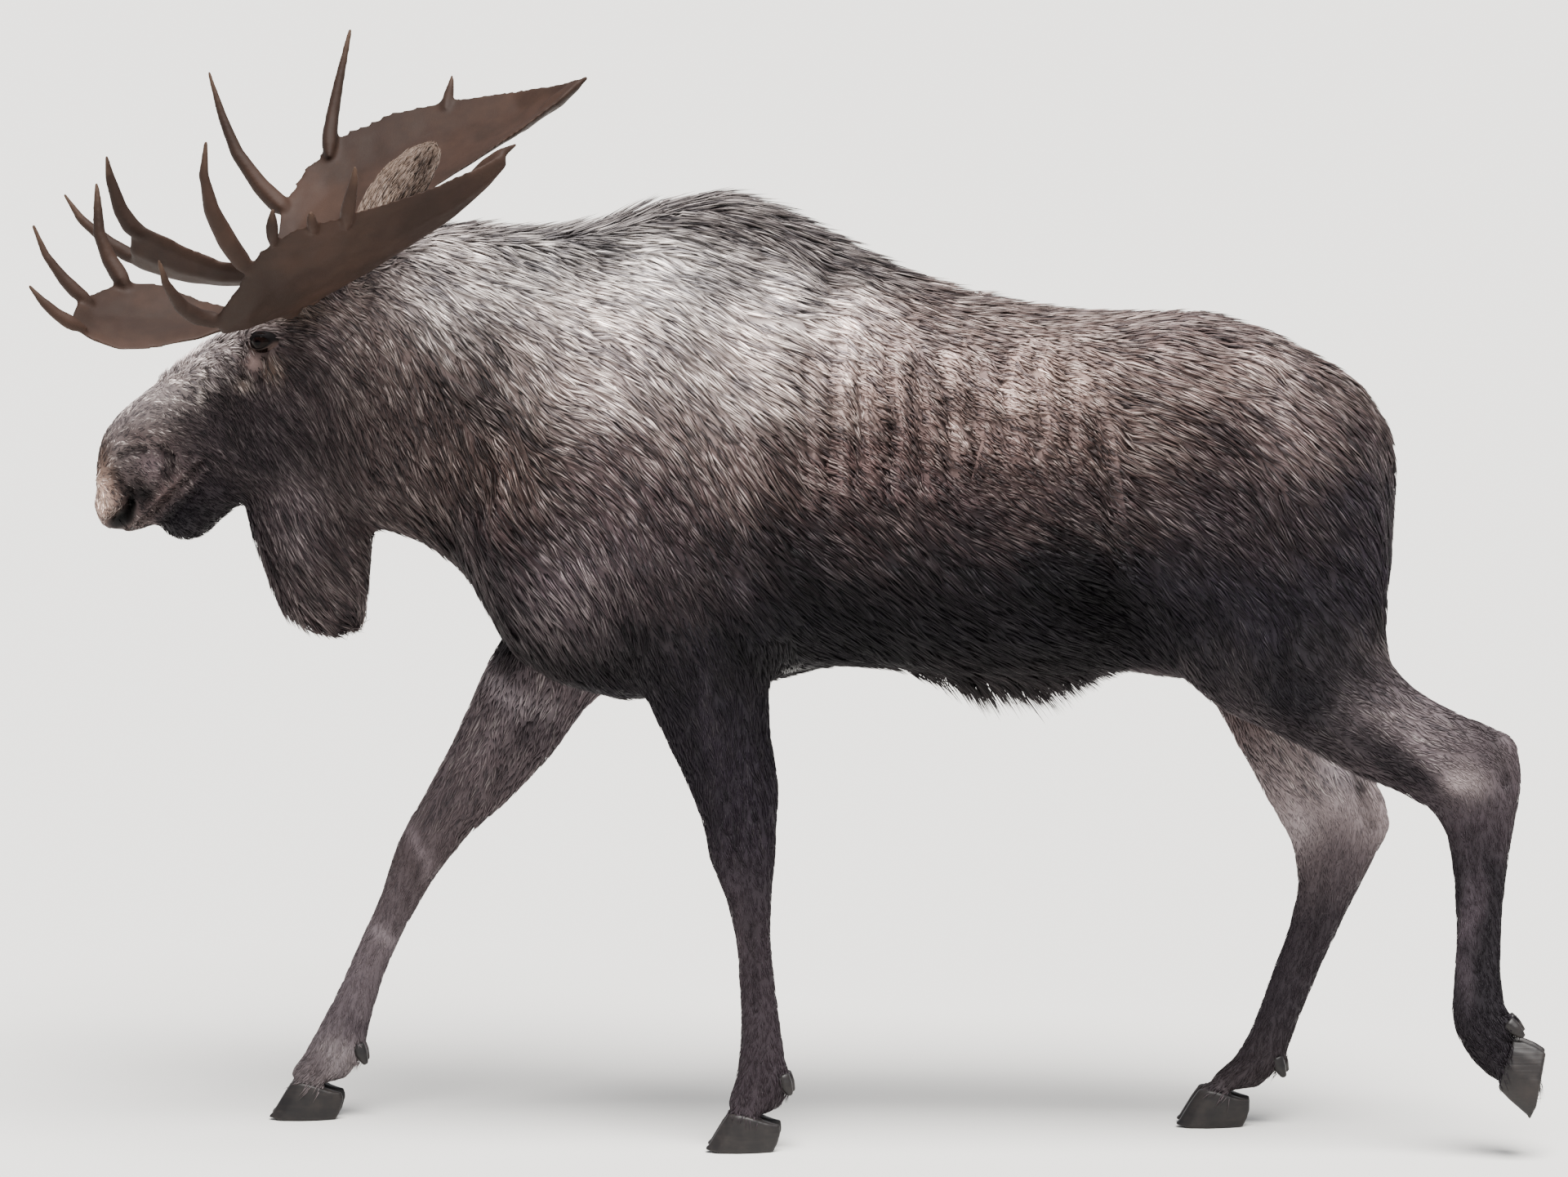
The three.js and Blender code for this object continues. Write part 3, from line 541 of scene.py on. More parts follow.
# x, top, low, lean, phase and height of each fold of skin over the ribs.
RIB_LINES = (
    (0.062, 1.775, 1.40, -0.015, 0.0, 0.007),
    (0.118, 1.745, 1.37, -0.010, 0.8, 0.010),
    (0.172, 1.715, 1.38, 0.000, 2.1, 0.012),
    (0.232, 1.710, 1.39, 0.008, 3.0, 0.013),
    (0.288, 1.700, 1.40, 0.012, 4.2, 0.013),
    (0.345, 1.690, 1.38, 0.012, 5.0, 0.012),
    (0.402, 1.680, 1.42, 0.010, 0.5, 0.013),
    (0.466, 1.690, 1.45, 0.012, 1.6, 0.012),
    (0.532, 1.700, 1.46, 0.015, 2.4, 0.011),
    (0.600, 1.710, 1.48, 0.018, 3.6, 0.008),
)
# Ridges and grooves over the ribs, each painting the coat fully paler on its ridge and darker in its
# groove, painted light and shade.
RIB_FOLDS = tuple(
    Stroke(wavy(x, top, low, lean, phase), 0.0180, 0.86 * height, shade_share=1.0)
    for x, top, low, lean, phase, height in RIB_LINES
) + tuple(
    Stroke(wavy(x - 0.025, top - 0.02, low + 0.02, lean, phase), 0.0105, -0.62 * height, shade_share=1.0)
    for x, top, low, lean, phase, height in RIB_LINES
)

BODY_STROKES = RIB_FOLDS + (
    Stroke(((0.085, 1.86), (0.035, 1.62), (-0.010, 1.40), (-0.03, 1.22)), 0.045, -0.012, shade_share=0.12),
    Stroke(((-0.05, 1.78), (-0.09, 1.60), (-0.10, 1.42)), 0.070, 0.010),
    Stroke(((-0.34, 1.70), (-0.40, 1.50), (-0.36, 1.32)), 0.075, 0.012),
    Stroke(((-0.60, 1.30), (-0.52, 1.18)), 0.060, 0.014),
    Stroke(((-0.215, 1.50), (-0.245, 1.38), (-0.20, 1.27)), 0.030, -0.008),
    Stroke(((-0.10, 1.20), (-0.06, 1.10)), 0.045, 0.016),
    Stroke(((-0.62, 1.56), (-0.585, 1.44), (-0.60, 1.34)), 0.020, 0.010),
    Stroke(((-0.655, 1.58), (-0.625, 1.45), (-0.65, 1.33)), 0.016, -0.010),
    Stroke(((-0.50, 1.62), (-0.525, 1.50), (-0.48, 1.36)), 0.024, -0.008),
    Stroke(((0.665, 1.62), (0.680, 1.50), (0.705, 1.36), (0.725, 1.22)), 0.026, 0.010),
    Stroke(((0.630, 1.58), (0.645, 1.46), (0.668, 1.30), (0.69, 1.19)), 0.024, -0.012),
    Stroke(((0.705, 1.58), (0.725, 1.42), (0.748, 1.26)), 0.014, -0.008),
    Stroke(((0.64, 1.17), (0.70, 1.11)), 0.070, -0.032),
    Stroke(((0.800, 1.705),), 0.060, 0.012),
    Stroke(((1.00, 1.62), (1.06, 1.50)), 0.070, 0.010),
    Stroke(((1.165, 1.60), (1.19, 1.42), (1.185, 1.22)), 0.028, -0.012),
    Stroke(((0.93, 1.30), (1.00, 1.12)), 0.080, 0.010),
)

# On the straight head: x runs from the nose back, z up.
NOSTRIL = ((-1.378, 1.374), (-1.380, 1.342), (-1.394, 1.316), (-1.424, 1.294))
MOUTH = ((-1.372, 1.292), (-1.340, 1.318), (-1.300, 1.357), (-1.258, 1.397), (-1.222, 1.437))
POUCH = (-1.104, 1.657)
HEAD_STROKES = (
    Stroke(((-1.466, 1.335), (-1.455, 1.305)), 0.026, 0.011, True),
    Stroke(((-1.440, 1.292), (-1.400, 1.288)), 0.022, 0.006, True),
    Stroke(((-1.345, 1.262), (-1.290, 1.268), (-1.255, 1.300)), 0.034, 0.011, True),
    Stroke(NOSTRIL[:2], 0.0060, -0.014),
    Stroke(NOSTRIL[1:3], 0.0130, -0.028),
    Stroke(NOSTRIL[2:], 0.0165, -0.032),
    Stroke(((-1.413, 1.412), (-1.397, 1.392), (-1.386, 1.372)), 0.0080, -0.011),
    Stroke(((-1.445, 1.392), (-1.425, 1.365), (-1.416, 1.345)), 0.0150, 0.009),
    Stroke(((-1.368, 1.360), (-1.372, 1.330), (-1.394, 1.296)), 0.0095, 0.007),
    Stroke(((-1.396, 1.452), (-1.376, 1.464), (-1.345, 1.466)), 0.0065, -0.012),
    Stroke(((-1.326, 1.434),), 0.0290, 0.012),
    Stroke(((-1.345, 1.482), (-1.315, 1.486), (-1.292, 1.472)), 0.0090, 0.004),
    Stroke(((-1.303, 1.472), (-1.290, 1.452), (-1.288, 1.430), (-1.300, 1.408)), 0.0075, -0.014),
    Stroke(((-1.272, 1.468), (-1.262, 1.440)), 0.0110, 0.006),
    Stroke(((-1.362, 1.388), (-1.348, 1.362)), 0.0180, -0.013),
    Stroke(MOUTH[:3], 0.0042, -0.010),
    Stroke(MOUTH[2:], 0.0040, -0.005),
    Stroke(tuple((x - 0.010, z + 0.012) for x, z in MOUTH), 0.0085, 0.008),
    Stroke(tuple((x + 0.010, z - 0.012) for x, z in MOUTH), 0.0075, 0.006),
    Stroke(tuple((x + 0.024, z - 0.020) for x, z in MOUTH[1:4]), 0.0050, -0.004),
    Stroke(((-1.132, 1.690), (-1.135, 1.655), (-1.130, 1.620)), 0.0055, -0.006),
    Stroke(((-1.106, 1.660),), 0.0200, 0.005),
    Stroke(((-1.079, 1.692), (-1.077, 1.655)), 0.0050, -0.005),
    Stroke(((-1.128, 1.623), (-1.105, 1.612), (-1.082, 1.622)), 0.0060, -0.004),
    Stroke(((-1.206, 1.640), (-1.214, 1.605), (-1.208, 1.570)), 0.0060, -0.008),
    Stroke(((-1.222, 1.640), (-1.230, 1.605), (-1.222, 1.575)), 0.0080, 0.005),
    Stroke(((-1.190, 1.640), (-1.198, 1.600)), 0.0080, 0.004),
    Stroke(((-1.145, 1.722), (-1.105, 1.742), (-1.055, 1.733)), 0.0120, 0.007),
    Stroke(((-1.040, 1.560),), 0.0800, 0.008),
    Stroke(((-1.170, 1.560), (-1.140, 1.480)), 0.0300, -0.007),
    Stroke(((-1.020, 1.690), (-0.985, 1.650)), 0.0250, -0.008),
)

# (x, z) of a stroke on one leg, by the leg's name.
LEG_STROKES: dict[str, tuple[Stroke, ...]] = {
    "hind_leg_left": (
        Stroke(((1.385, 1.000), (1.470, 0.900), (1.500, 0.800)), 0.016, -0.012),
        Stroke(((1.310, 0.880), (1.385, 0.790)), 0.024, 0.007),
        Stroke(((1.425, 0.700), (1.440, 0.560), (1.445, 0.400)), 0.010, -0.005),
        Stroke(((1.490, 0.640), (1.490, 0.420)), 0.009, 0.004),
    ),
    "hind_leg_right": (
        Stroke(((1.110, 0.860), (1.190, 0.760), (1.225, 0.650)), 0.014, -0.012),
        Stroke(((1.030, 0.760), (1.070, 0.660)), 0.022, 0.006),
        Stroke(((1.120, 0.560), (1.110, 0.440), (1.075, 0.330)), 0.010, -0.005),
    ),
    "fore_leg_left": (
        Stroke(((-0.130, 0.960), (-0.090, 0.780), (-0.080, 0.640)), 0.022, 0.006),
        Stroke(((-0.055, 0.960), (-0.040, 0.800)), 0.014, -0.006),
        Stroke(((-0.075, 0.480), (-0.070, 0.300)), 0.009, -0.005),
        Stroke(((-0.130, 0.560),), 0.030, 0.006),
    ),
    "fore_leg_right": (
        Stroke(((-0.600, 0.900), (-0.680, 0.780)), 0.022, 0.007),
        Stroke(((-0.560, 0.880), (-0.640, 0.740)), 0.014, -0.006),
        Stroke(((-0.800, 0.560), (-0.860, 0.400)), 0.009, -0.005),
    ),
}


# ---------------- the lie and colour of the coat


@dataclass(frozen=True)
class Guide:
    """Which way the hair points at a place on the side: x back, z up."""

    x: float
    z: float
    back: float
    up: float


BODY_GUIDES = tuple(
    Guide(*row) for row in (
        (-0.95, 1.86, 0.95, -0.30), (-0.80, 1.95, 1.00, -0.12), (-0.85, 1.72, 0.72, -0.70),
        (-0.75, 1.60, 0.62, -0.78), (-0.80, 1.45, 0.40, -0.92), (-0.60, 1.95, 1.00, -0.05),
        (-0.60, 1.80, 0.82, -0.57), (-0.60, 1.65, 0.70, -0.71), (-0.60, 1.40, 0.35, -0.94),
        (-0.60, 1.22, 0.45, -0.89), (-0.45, 1.95, 1.00, 0.10), (-0.40, 1.82, 0.92, -0.40),
        (-0.42, 1.65, 0.72, -0.70), (-0.45, 1.45, 0.45, -0.89), (-0.42, 1.20, 0.55, -0.83),
        (-0.20, 2.02, 1.00, -0.02), (-0.20, 1.88, 0.95, -0.30), (-0.22, 1.70, 0.88, -0.47),
        (-0.22, 1.52, 0.93, -0.36), (-0.24, 1.36, 0.90, -0.44), (-0.22, 1.18, 0.60, -0.80),
        (0.05, 1.95, 0.90, -0.42), (0.02, 1.78, 0.72, -0.70), (0.00, 1.58, 0.55, -0.84),
        (0.00, 1.36, 0.62, -0.78), (0.00, 1.12, 0.90, -0.44), (0.20, 1.80, 0.80, -0.60),
        (0.20, 1.62, 0.62, -0.78), (0.20, 1.42, 0.66, -0.75), (0.20, 1.18, 0.92, -0.39),
        (0.45, 1.78, 0.95, -0.30), (0.42, 1.60, 0.80, -0.60), (0.42, 1.40, 0.80, -0.60),
        (0.42, 1.12, 0.97, -0.22), (0.65, 1.76, 0.98, -0.18), (0.62, 1.58, 0.86, -0.50),
        (0.66, 1.38, 0.30, -0.95), (0.66, 1.15, 0.60, -0.80), (0.90, 1.72, 0.95, -0.30),
        (0.85, 1.56, 0.80, -0.60), (0.85, 1.36, 0.62, -0.78), (0.85, 1.15, 0.62, -0.78),
        (1.10, 1.60, 0.80, -0.60), (1.10, 1.40, 0.55, -0.83), (1.10, 1.15, 0.55, -0.83),
        (1.24, 1.40, 0.20, -0.98), (1.22, 1.15, 0.30, -0.95),
    )
)

HEAD_GUIDES = tuple(
    Guide(*row) for row in (
        (-1.46, 1.34, -0.10, -0.99), (-1.44, 1.45, 0.30, 0.95), (-1.37, 1.56, 0.75, 0.66),
        (-1.38, 1.42, 0.90, -0.44), (-1.28, 1.66, 0.85, 0.50), (-1.28, 1.56, 0.85, -0.40),
        (-1.28, 1.44, 0.75, -0.66), (-1.26, 1.33, 0.80, -0.60), (-1.18, 1.74, 0.95, 0.30),
        (-1.18, 1.62, 0.70, -0.71), (-1.17, 1.48, 0.60, -0.80), (-1.08, 1.62, 0.50, -0.87),
        (-1.05, 1.74, 0.95, -0.20), (-1.02, 1.56, 0.55, -0.83), (-1.02, 1.44, 0.45, -0.89),
        (-0.95, 1.66, 0.65, -0.76), (-0.95, 1.80, 0.85, -0.50), (-0.90, 1.50, 0.45, -0.89),
    )
)

# The middle line of each leg from hip or shoulder to hoof: (x, y, z) in millimetres.
BONES: dict[str, tuple[Triple, ...]] = {
    "fore_leg_left": (
        (-190, -150, 1300), (-120, -168, 1080), (-100, -168, 800),
        (-86, -168, 560), (-82, -168, 300), (-96, -168, 190), (-120, -168, 60),
    ),
    "fore_leg_right": (
        (-440, 150, 1250), (-560, 170, 950), (-680, 168, 740),
        (-820, 168, 500), (-935, 168, 250), (-980, 168, 130), (-1050, 168, 50),
    ),
    "hind_leg_left": (
        (1000, -104, 1600), (1025, -180, 1250), (1110, -180, 1000), (1290, -180, 880),
        (1470, -180, 790), (1475, -180, 640), (1465, -180, 430), (1470, -180, 310),
        (1520, -180, 215), (1555, -180, 120),
    ),
    "hind_leg_right": (
        (960, 104, 1600), (990, 180, 1250), (1020, 180, 1010), (1080, 180, 830),
        (1170, 180, 670), (1135, 180, 450), (1065, 180, 290), (1030, 180, 180), (930, 182, 60),
    ),
}


@dataclass(frozen=True)
class Patch:
    """A soft-edged oval of screen colour on the side of the body: x and z are its middle."""

    x: float
    z: float
    reach_x: float
    reach_z: float
    colour: Colour
    strength: float = 1.0
    turn: float = 0.0
    edge: float = 1.05

    def over(self, tone: Array, places: Array, share: Array) -> Array:
        """The tones with the patch laid over them, at most as strongly as the share."""
        c, s = math.cos(self.turn), math.sin(self.turn)
        dx, dz = places[:, 0] - self.x, places[:, 1] - self.z
        along = (c * dx + s * dz) / self.reach_x
        across = (c * dz - s * dx) / self.reach_z
        cover = self.strength * np.exp(-((along**2 + across**2) ** self.edge))
        return blended(tone, cover * share, linear(*self.colour))


# Heights above the floor and the colour at each, on neck, trunk and thighs: partly the coat's own,
# partly painted light and shade, paler on top where light falls and wet hair shines, darker low down
# under the body.
BODY_HEIGHTS = (1.05, 1.20, 1.30, 1.40, 1.52, 1.64, 1.76, 1.95)
BODY_COLOURS_AND_SHADE = (
    (10, 8, 13), (17, 14, 20), (30, 23, 27), (45, 34, 35),
    (76, 60, 57), (118, 98, 92), (151, 131, 124), (186, 169, 163),
)

BODY_PATCHES = (
    # Painted sheen: near-white ovals on top of shoulder and hump, the light shining off wet hair there.
    Patch(-0.46, 1.87, 0.34, 0.11, (250, 244, 240), 0.97, 0.0, 1.3),
    Patch(-0.08, 1.84, 0.26, 0.13, (240, 228, 224), 0.90),
    Patch(-0.37, 1.68, 0.22, 0.14, (190, 174, 170), 0.70),
    Patch(-0.20, 1.57, 0.16, 0.10, (130, 112, 108), 0.60),
    Patch(-0.80, 1.80, 0.12, 0.11, (124, 111, 114), 0.85),
    Patch(-0.74, 1.61, 0.17, 0.12, (30, 23, 28), 0.97),
    Patch(-0.72, 1.45, 0.15, 0.11, (66, 49, 45), 0.85),
    Patch(-0.60, 1.48, 0.04, 0.12, (104, 84, 74), 0.40),
    Patch(-0.66, 1.30, 0.09, 0.08, (30, 22, 29), 0.80),
    Patch(-0.24, 1.36, 0.20, 0.13, (80, 65, 67), 0.75),
    Patch(-0.43, 1.19, 0.15, 0.11, (88, 75, 79), 0.80),
    # Partly the underside's own dark colour, partly painted shade low on the chest round the elbow.
    Patch(-0.10, 1.10, 0.20, 0.10, (10, 7, 13), 0.93),
    Patch(0.22, 1.71, 0.20, 0.08, (140, 119, 113), 0.50),
    Patch(0.24, 1.52, 0.26, 0.09, (56, 42, 41), 0.72),
    Patch(0.40, 1.81, 0.28, 0.07, (176, 150, 142), 0.75),
    Patch(0.54, 1.67, 0.13, 0.09, (150, 127, 119), 0.60),
    Patch(0.67, 1.44, 0.06, 0.16, (100, 83, 78), 0.35),
    # Painted shade: the groin's deep recess, near black.
    Patch(0.63, 1.17, 0.15, 0.10, (5, 4, 8), 0.97, 0.0, 1.3),
    Patch(0.92, 1.76, 0.20, 0.06, (118, 99, 97), 0.80),
    Patch(0.80, 1.68, 0.14, 0.08, (104, 85, 82), 0.75),
    Patch(0.92, 1.45, 0.22, 0.12, (48, 38, 41), 0.85),
    Patch(1.09, 1.59, 0.09, 0.08, (114, 97, 96), 0.60),
    Patch(0.95, 1.17, 0.32, 0.17, (27, 22, 30), 0.93),
    Patch(1.20, 1.36, 0.09, 0.22, (44, 37, 45), 0.85),
)

HEAD_PATCHES = (
    Patch(-1.08, 1.47, 0.20, 0.22, (35, 28, 33), 0.92),
    Patch(-1.30, 1.60, 0.16, 0.062, (188, 174, 172), 0.92, 0.72),
    Patch(-1.38, 1.53, 0.07, 0.06, (168, 154, 153), 0.80, 0.9),
    Patch(-1.20, 1.50, 0.07, 0.08, (54, 45, 49), 0.7),
    Patch(-1.35, 1.49, 0.06, 0.03, (96, 80, 79), 0.8),
    Patch(-1.45, 1.44, 0.03, 0.05, (98, 76, 66), 0.8),
    Patch(-1.445, 1.365, 0.032, 0.055, (184, 154, 139), 0.9, 0.0, 1.3),
    Patch(-1.385, 1.29, 0.034, 0.018, (72, 57, 54), 0.8, 0.5),
    Patch(-1.325, 1.43, 0.042, 0.034, (92, 78, 81), 0.80),
    # Painted shade in the hollow behind the nostril.
    Patch(-1.348, 1.364, 0.036, 0.024, (14, 10, 13), 0.92),
    Patch(-1.30, 1.37, 0.050, 0.016, (92, 75, 74), 0.60, 0.8),
    Patch(-1.275, 1.30, 0.085, 0.045, (12, 9, 14), 0.97, 0.4, 1.3),
    Patch(-1.104, 1.655, 0.026, 0.024, (112, 94, 91), 0.9),
    Patch(-1.060, 1.640, 0.026, 0.030, (98, 81, 71), 0.6),
    Patch(-1.125, 1.605, 0.020, 0.014, (132, 116, 108), 0.6),
    Patch(-1.10, 1.765, 0.12, 0.022, (112, 95, 78), 0.8),
    Patch(-0.99, 1.78, 0.05, 0.05, (72, 59, 55), 0.7),
    Patch(-1.225, 1.605, 0.007, 0.038, (186, 174, 168), 0.8),
    # Painted shade: the two nostril openings, black.
    Patch(-1.407, 1.304, 0.033, 0.018, (3, 2, 3), 1.0, 0.62, 1.6),
    Patch(-1.383, 1.340, 0.011, 0.030, (3, 2, 3), 1.0, -0.20, 1.5),
    Patch(-1.02, 1.36, 0.06, 0.05, (92, 79, 83), 0.80),
)


EAR_SHADE = Patch(-0.765, 2.045, 0.070, 0.030, (44, 34, 29), 0.9, 0.80, 1.3)


class Markings:
    """The colours of skin and coat, worked out from the place on the body."""

    base: dict[Region, Colour] = {
        Region.TRUNK: linear(90, 76, 74),
        Region.NECK: linear(90, 76, 74),
        Region.HEAD: linear(70, 58, 58),
        Region.JAW: linear(34, 27, 32),
        Region.BELL: linear(48, 40, 47),
        Region.EAR: linear(94, 78, 68),
        Region.TAIL: linear(60, 50, 54),
        Region.UPPER_LEG: linear(54, 46, 50),
        Region.CANNON: linear(64, 55, 60),
        Region.PASTERN: linear(62, 54, 60),
    }
    crest_colour: Colour = linear(40, 32, 36)
    # Along the back: where the dark mane's depth and strength are given, and what they are.
    crest_depths = (
        (-0.9, -0.5, -0.25, -0.1, 0.1, 0.3, 0.6, 1.2),
        (0.04, 0.03, 0.035, 0.055, 0.065, 0.045, 0.03, 0.025),
    )
    crest_strengths = ((-0.9, -0.5, -0.3, 0.3, 0.6, 1.2), (0.7, 0.70, 0.9, 0.80, 0.45, 0.35))
    thigh: tuple[float, float] = (0.84, 1.06)
    # Painted light and shade of the folds: how strongly the coat is paled on ridges and darkened in
    # grooves, more on the face, and the height at which it is full.
    fold_shade: float = 0.80
    face_fold_shade: float = 1.30
    fold_shade_height: float = 0.009

    def at(self, places: Array, nodes: Array, edges: Array, relief: Array) -> Array:
        """The colour at each vertex of the skin.

        Args:
            places: the vertices.
            nodes: for each vertex the place of its CAD node in NODES.
            edges: the skin's edges, over which the regions' colours run together.
            relief: the folds' and swellings' heights at each vertex, in metres, each times its stroke's
                share of painted light and shade.

        Returns:
            Linear colours, one row each.
        """
        regions = NODE_REGIONS[nodes]
        tone = diffuse(np.array([self.base[region] for region in Region])[regions], edges, 24)
        wander = np.stack([ripple(places, 0.20, 3), ripple(places, 0.22, 4)], axis=1)
        wander += 0.4 * np.stack([ripple(places, 0.070, 5), ripple(places, 0.075, 6)], axis=1)

        body = within(regions, *TORSO, Region.TAIL, Region.UPPER_LEG)
        share = diffuse(body.astype(float), edges, 24) * smoothstep(*self.thigh, places[:, 2])
        side = places[:, [0, 2]] + 0.014 * wander
        # Painted light and shade by height, over the coat's own colour: paler on top, darker under the
        # body.
        tone = blended(tone, share, graded(side[:, 1], BODY_HEIGHTS, BODY_COLOURS_AND_SHADE))
        for patch in BODY_PATCHES:
            tone = patch.over(tone, side, share)
        tone = EAR_SHADE.over(tone, side, within(regions, Region.EAR))

        skull = within(regions, *FACE, Region.BELL)
        share = diffuse(skull.astype(float), edges, 10)
        local = frame_to_head(places)[:, [0, 2]] + 0.003 * wander
        for patch in HEAD_PATCHES:
            tone = patch.over(tone, local, share)

        tone = self._crest(tone, places, regions)
        tone = self._legs(tone, places, nodes, wander)
        # Painted light and shade: paler where folds rise, darker in grooves and creases.
        raised = np.clip(relief / self.fold_shade_height, -1.0, 1.0)
        return tone * np.exp(self.fold_shade * raised * np.where(skull, self.face_fold_shade, 1.0))[:, None]

    def _crest(self, tone: Array, places: Array, regions: Array) -> Array:
        """Darkens the mane along the top of neck, hump and back."""
        body = within(regions, *TORSO)
        along = places[:, 0]
        stops = np.linspace(-0.85, 1.20, 42)
        top = [places[body & (np.abs(along - x) < 0.03), 2].max(initial=0.0) for x in stops]
        drop = np.interp(along, stops, top) - places[:, 2]
        reach = np.interp(along, *self.crest_depths) * (1 + 0.20 * ripple(places, 0.20, 9))
        cover = np.exp(-((np.maximum(drop, 0) / np.maximum(reach, 0.01)) ** 2)) * body
        return blended(tone, cover * np.interp(along, *self.crest_strengths), self.crest_colour)

    def _legs(self, tone: Array, places: Array, nodes: Array, wander: Array) -> Array:
        """Lays the bands of the four legs, by height above the floor, and their patches."""
        z = places[:, 2] + 0.012 * wander[:, 0]
        side = places[:, [0, 2]] + 0.010 * wander
        for leg, (heights, colours) in LEG_BANDS.items():
            here = on_part(nodes, leg)
            cover = here * (1 - smoothstep(heights[-1] - 0.10, heights[-1], z))
            tone = blended(tone, cover, graded(z, heights, colours))
            for patch in LEG_PATCHES[leg]:
                tone = patch.over(tone, side, here)
        return tone


# For each leg: heights above the floor, lowest first, and the colour at each.
LEG_BANDS: dict[str, tuple[tuple[float, ...], tuple[Colour, ...]]] = {
    "fore_leg_left": (
        (0.0, 0.12, 0.25, 0.45, 0.58, 0.75, 1.05),
        (
            (54, 46, 50), (47, 39, 44), (46, 38, 43), (44, 36, 41),
            (37, 30, 36), (26, 20, 28), (18, 14, 21),
        ),
    ),
    "fore_leg_right": (
        (0.0, 0.10, 0.20, 0.35, 0.55, 0.80, 1.05),
        (
            (112, 103, 103), (86, 77, 79), (80, 71, 75), (88, 78, 82),
            (68, 58, 60), (86, 75, 78), (90, 79, 83),
        ),
    ),
    "hind_leg_left": (
        (0.0, 0.20, 0.35, 0.60, 0.70, 0.80, 0.93, 1.10, 1.20),
        (
            (28, 24, 28), (28, 23, 28), (24, 20, 25), (28, 23, 28),
            (50, 42, 47), (66, 57, 61), (84, 74, 77), (17, 14, 21),
            (17, 14, 21),
        ),
    ),
    "hind_leg_right": (
        (0.0, 0.12, 0.25, 0.45, 0.58, 0.68, 0.84, 0.95),
        (
            (80, 72, 75), (48, 41, 44), (42, 36, 41), (50, 43, 48),
            (82, 72, 75), (134, 121, 122), (112, 99, 100), (78, 67, 69),
        ),
    ),
}

LEG_PATCHES: dict[str, tuple[Patch, ...]] = {
    "hind_leg_left": (
        Patch(1.06, 0.98, 0.20, 0.12, (18, 15, 21), 0.97, -0.35, 1.3),
        Patch(1.27, 0.835, 0.12, 0.035, (28, 23, 28), 0.95, -0.42),
        Patch(1.29, 0.925, 0.09, 0.048, (120, 108, 110), 0.75, -0.30),
        Patch(1.34, 1.010, 0.12, 0.026, (122, 109, 109), 0.80, -0.50),
        Patch(1.410, 0.820, 0.046, 0.050, (142, 129, 129), 0.80, 0.70),
        Patch(1.455, 0.905, 0.060, 0.020, (54, 46, 49), 0.55, -0.45),
        Patch(1.500, 0.890, 0.020, 0.050, (88, 78, 81), 0.80),
        Patch(1.420, 0.500, 0.014, 0.150, (78, 68, 75), 0.60),
    ),
    "hind_leg_right": (
        Patch(0.96, 0.90, 0.06, 0.08, (84, 70, 70), 0.85),
        Patch(1.165, 0.795, 0.052, 0.060, (166, 155, 160), 0.80, -0.70),
        Patch(1.205, 0.745, 0.016, 0.014, (20, 16, 20), 0.90),
        Patch(1.150, 0.715, 0.034, 0.034, (150, 137, 139), 0.60),
        Patch(1.060, 0.640, 0.030, 0.050, (150, 138, 140), 0.70),
    ),
    "fore_leg_right": (
        Patch(-0.600, 0.925, 0.026, 0.090, (146, 134, 138), 0.75, 0.95),
        Patch(-0.545, 0.840, 0.042, 0.100, (62, 53, 58), 0.75, 0.85),
        Patch(-0.800, 0.580, 0.022, 0.100, (112, 100, 104), 0.60, 0.60),
        Patch(-0.875, 0.370, 0.016, 0.110, (126, 115, 119), 0.55, 0.50),
        Patch(-0.980, 0.130, 0.030, 0.055, (138, 128, 130), 0.55, 0.60),
        Patch(-0.925, 0.200, 0.016, 0.050, (60, 52, 57), 0.70, 0.60),
    ),
    "fore_leg_left": (
        Patch(-0.120, 0.350, 0.014, 0.120, (92, 80, 86), 0.60),
        Patch(-0.160, 0.900, 0.020, 0.120, (46, 39, 48), 0.60, 0.25),
    ),
}


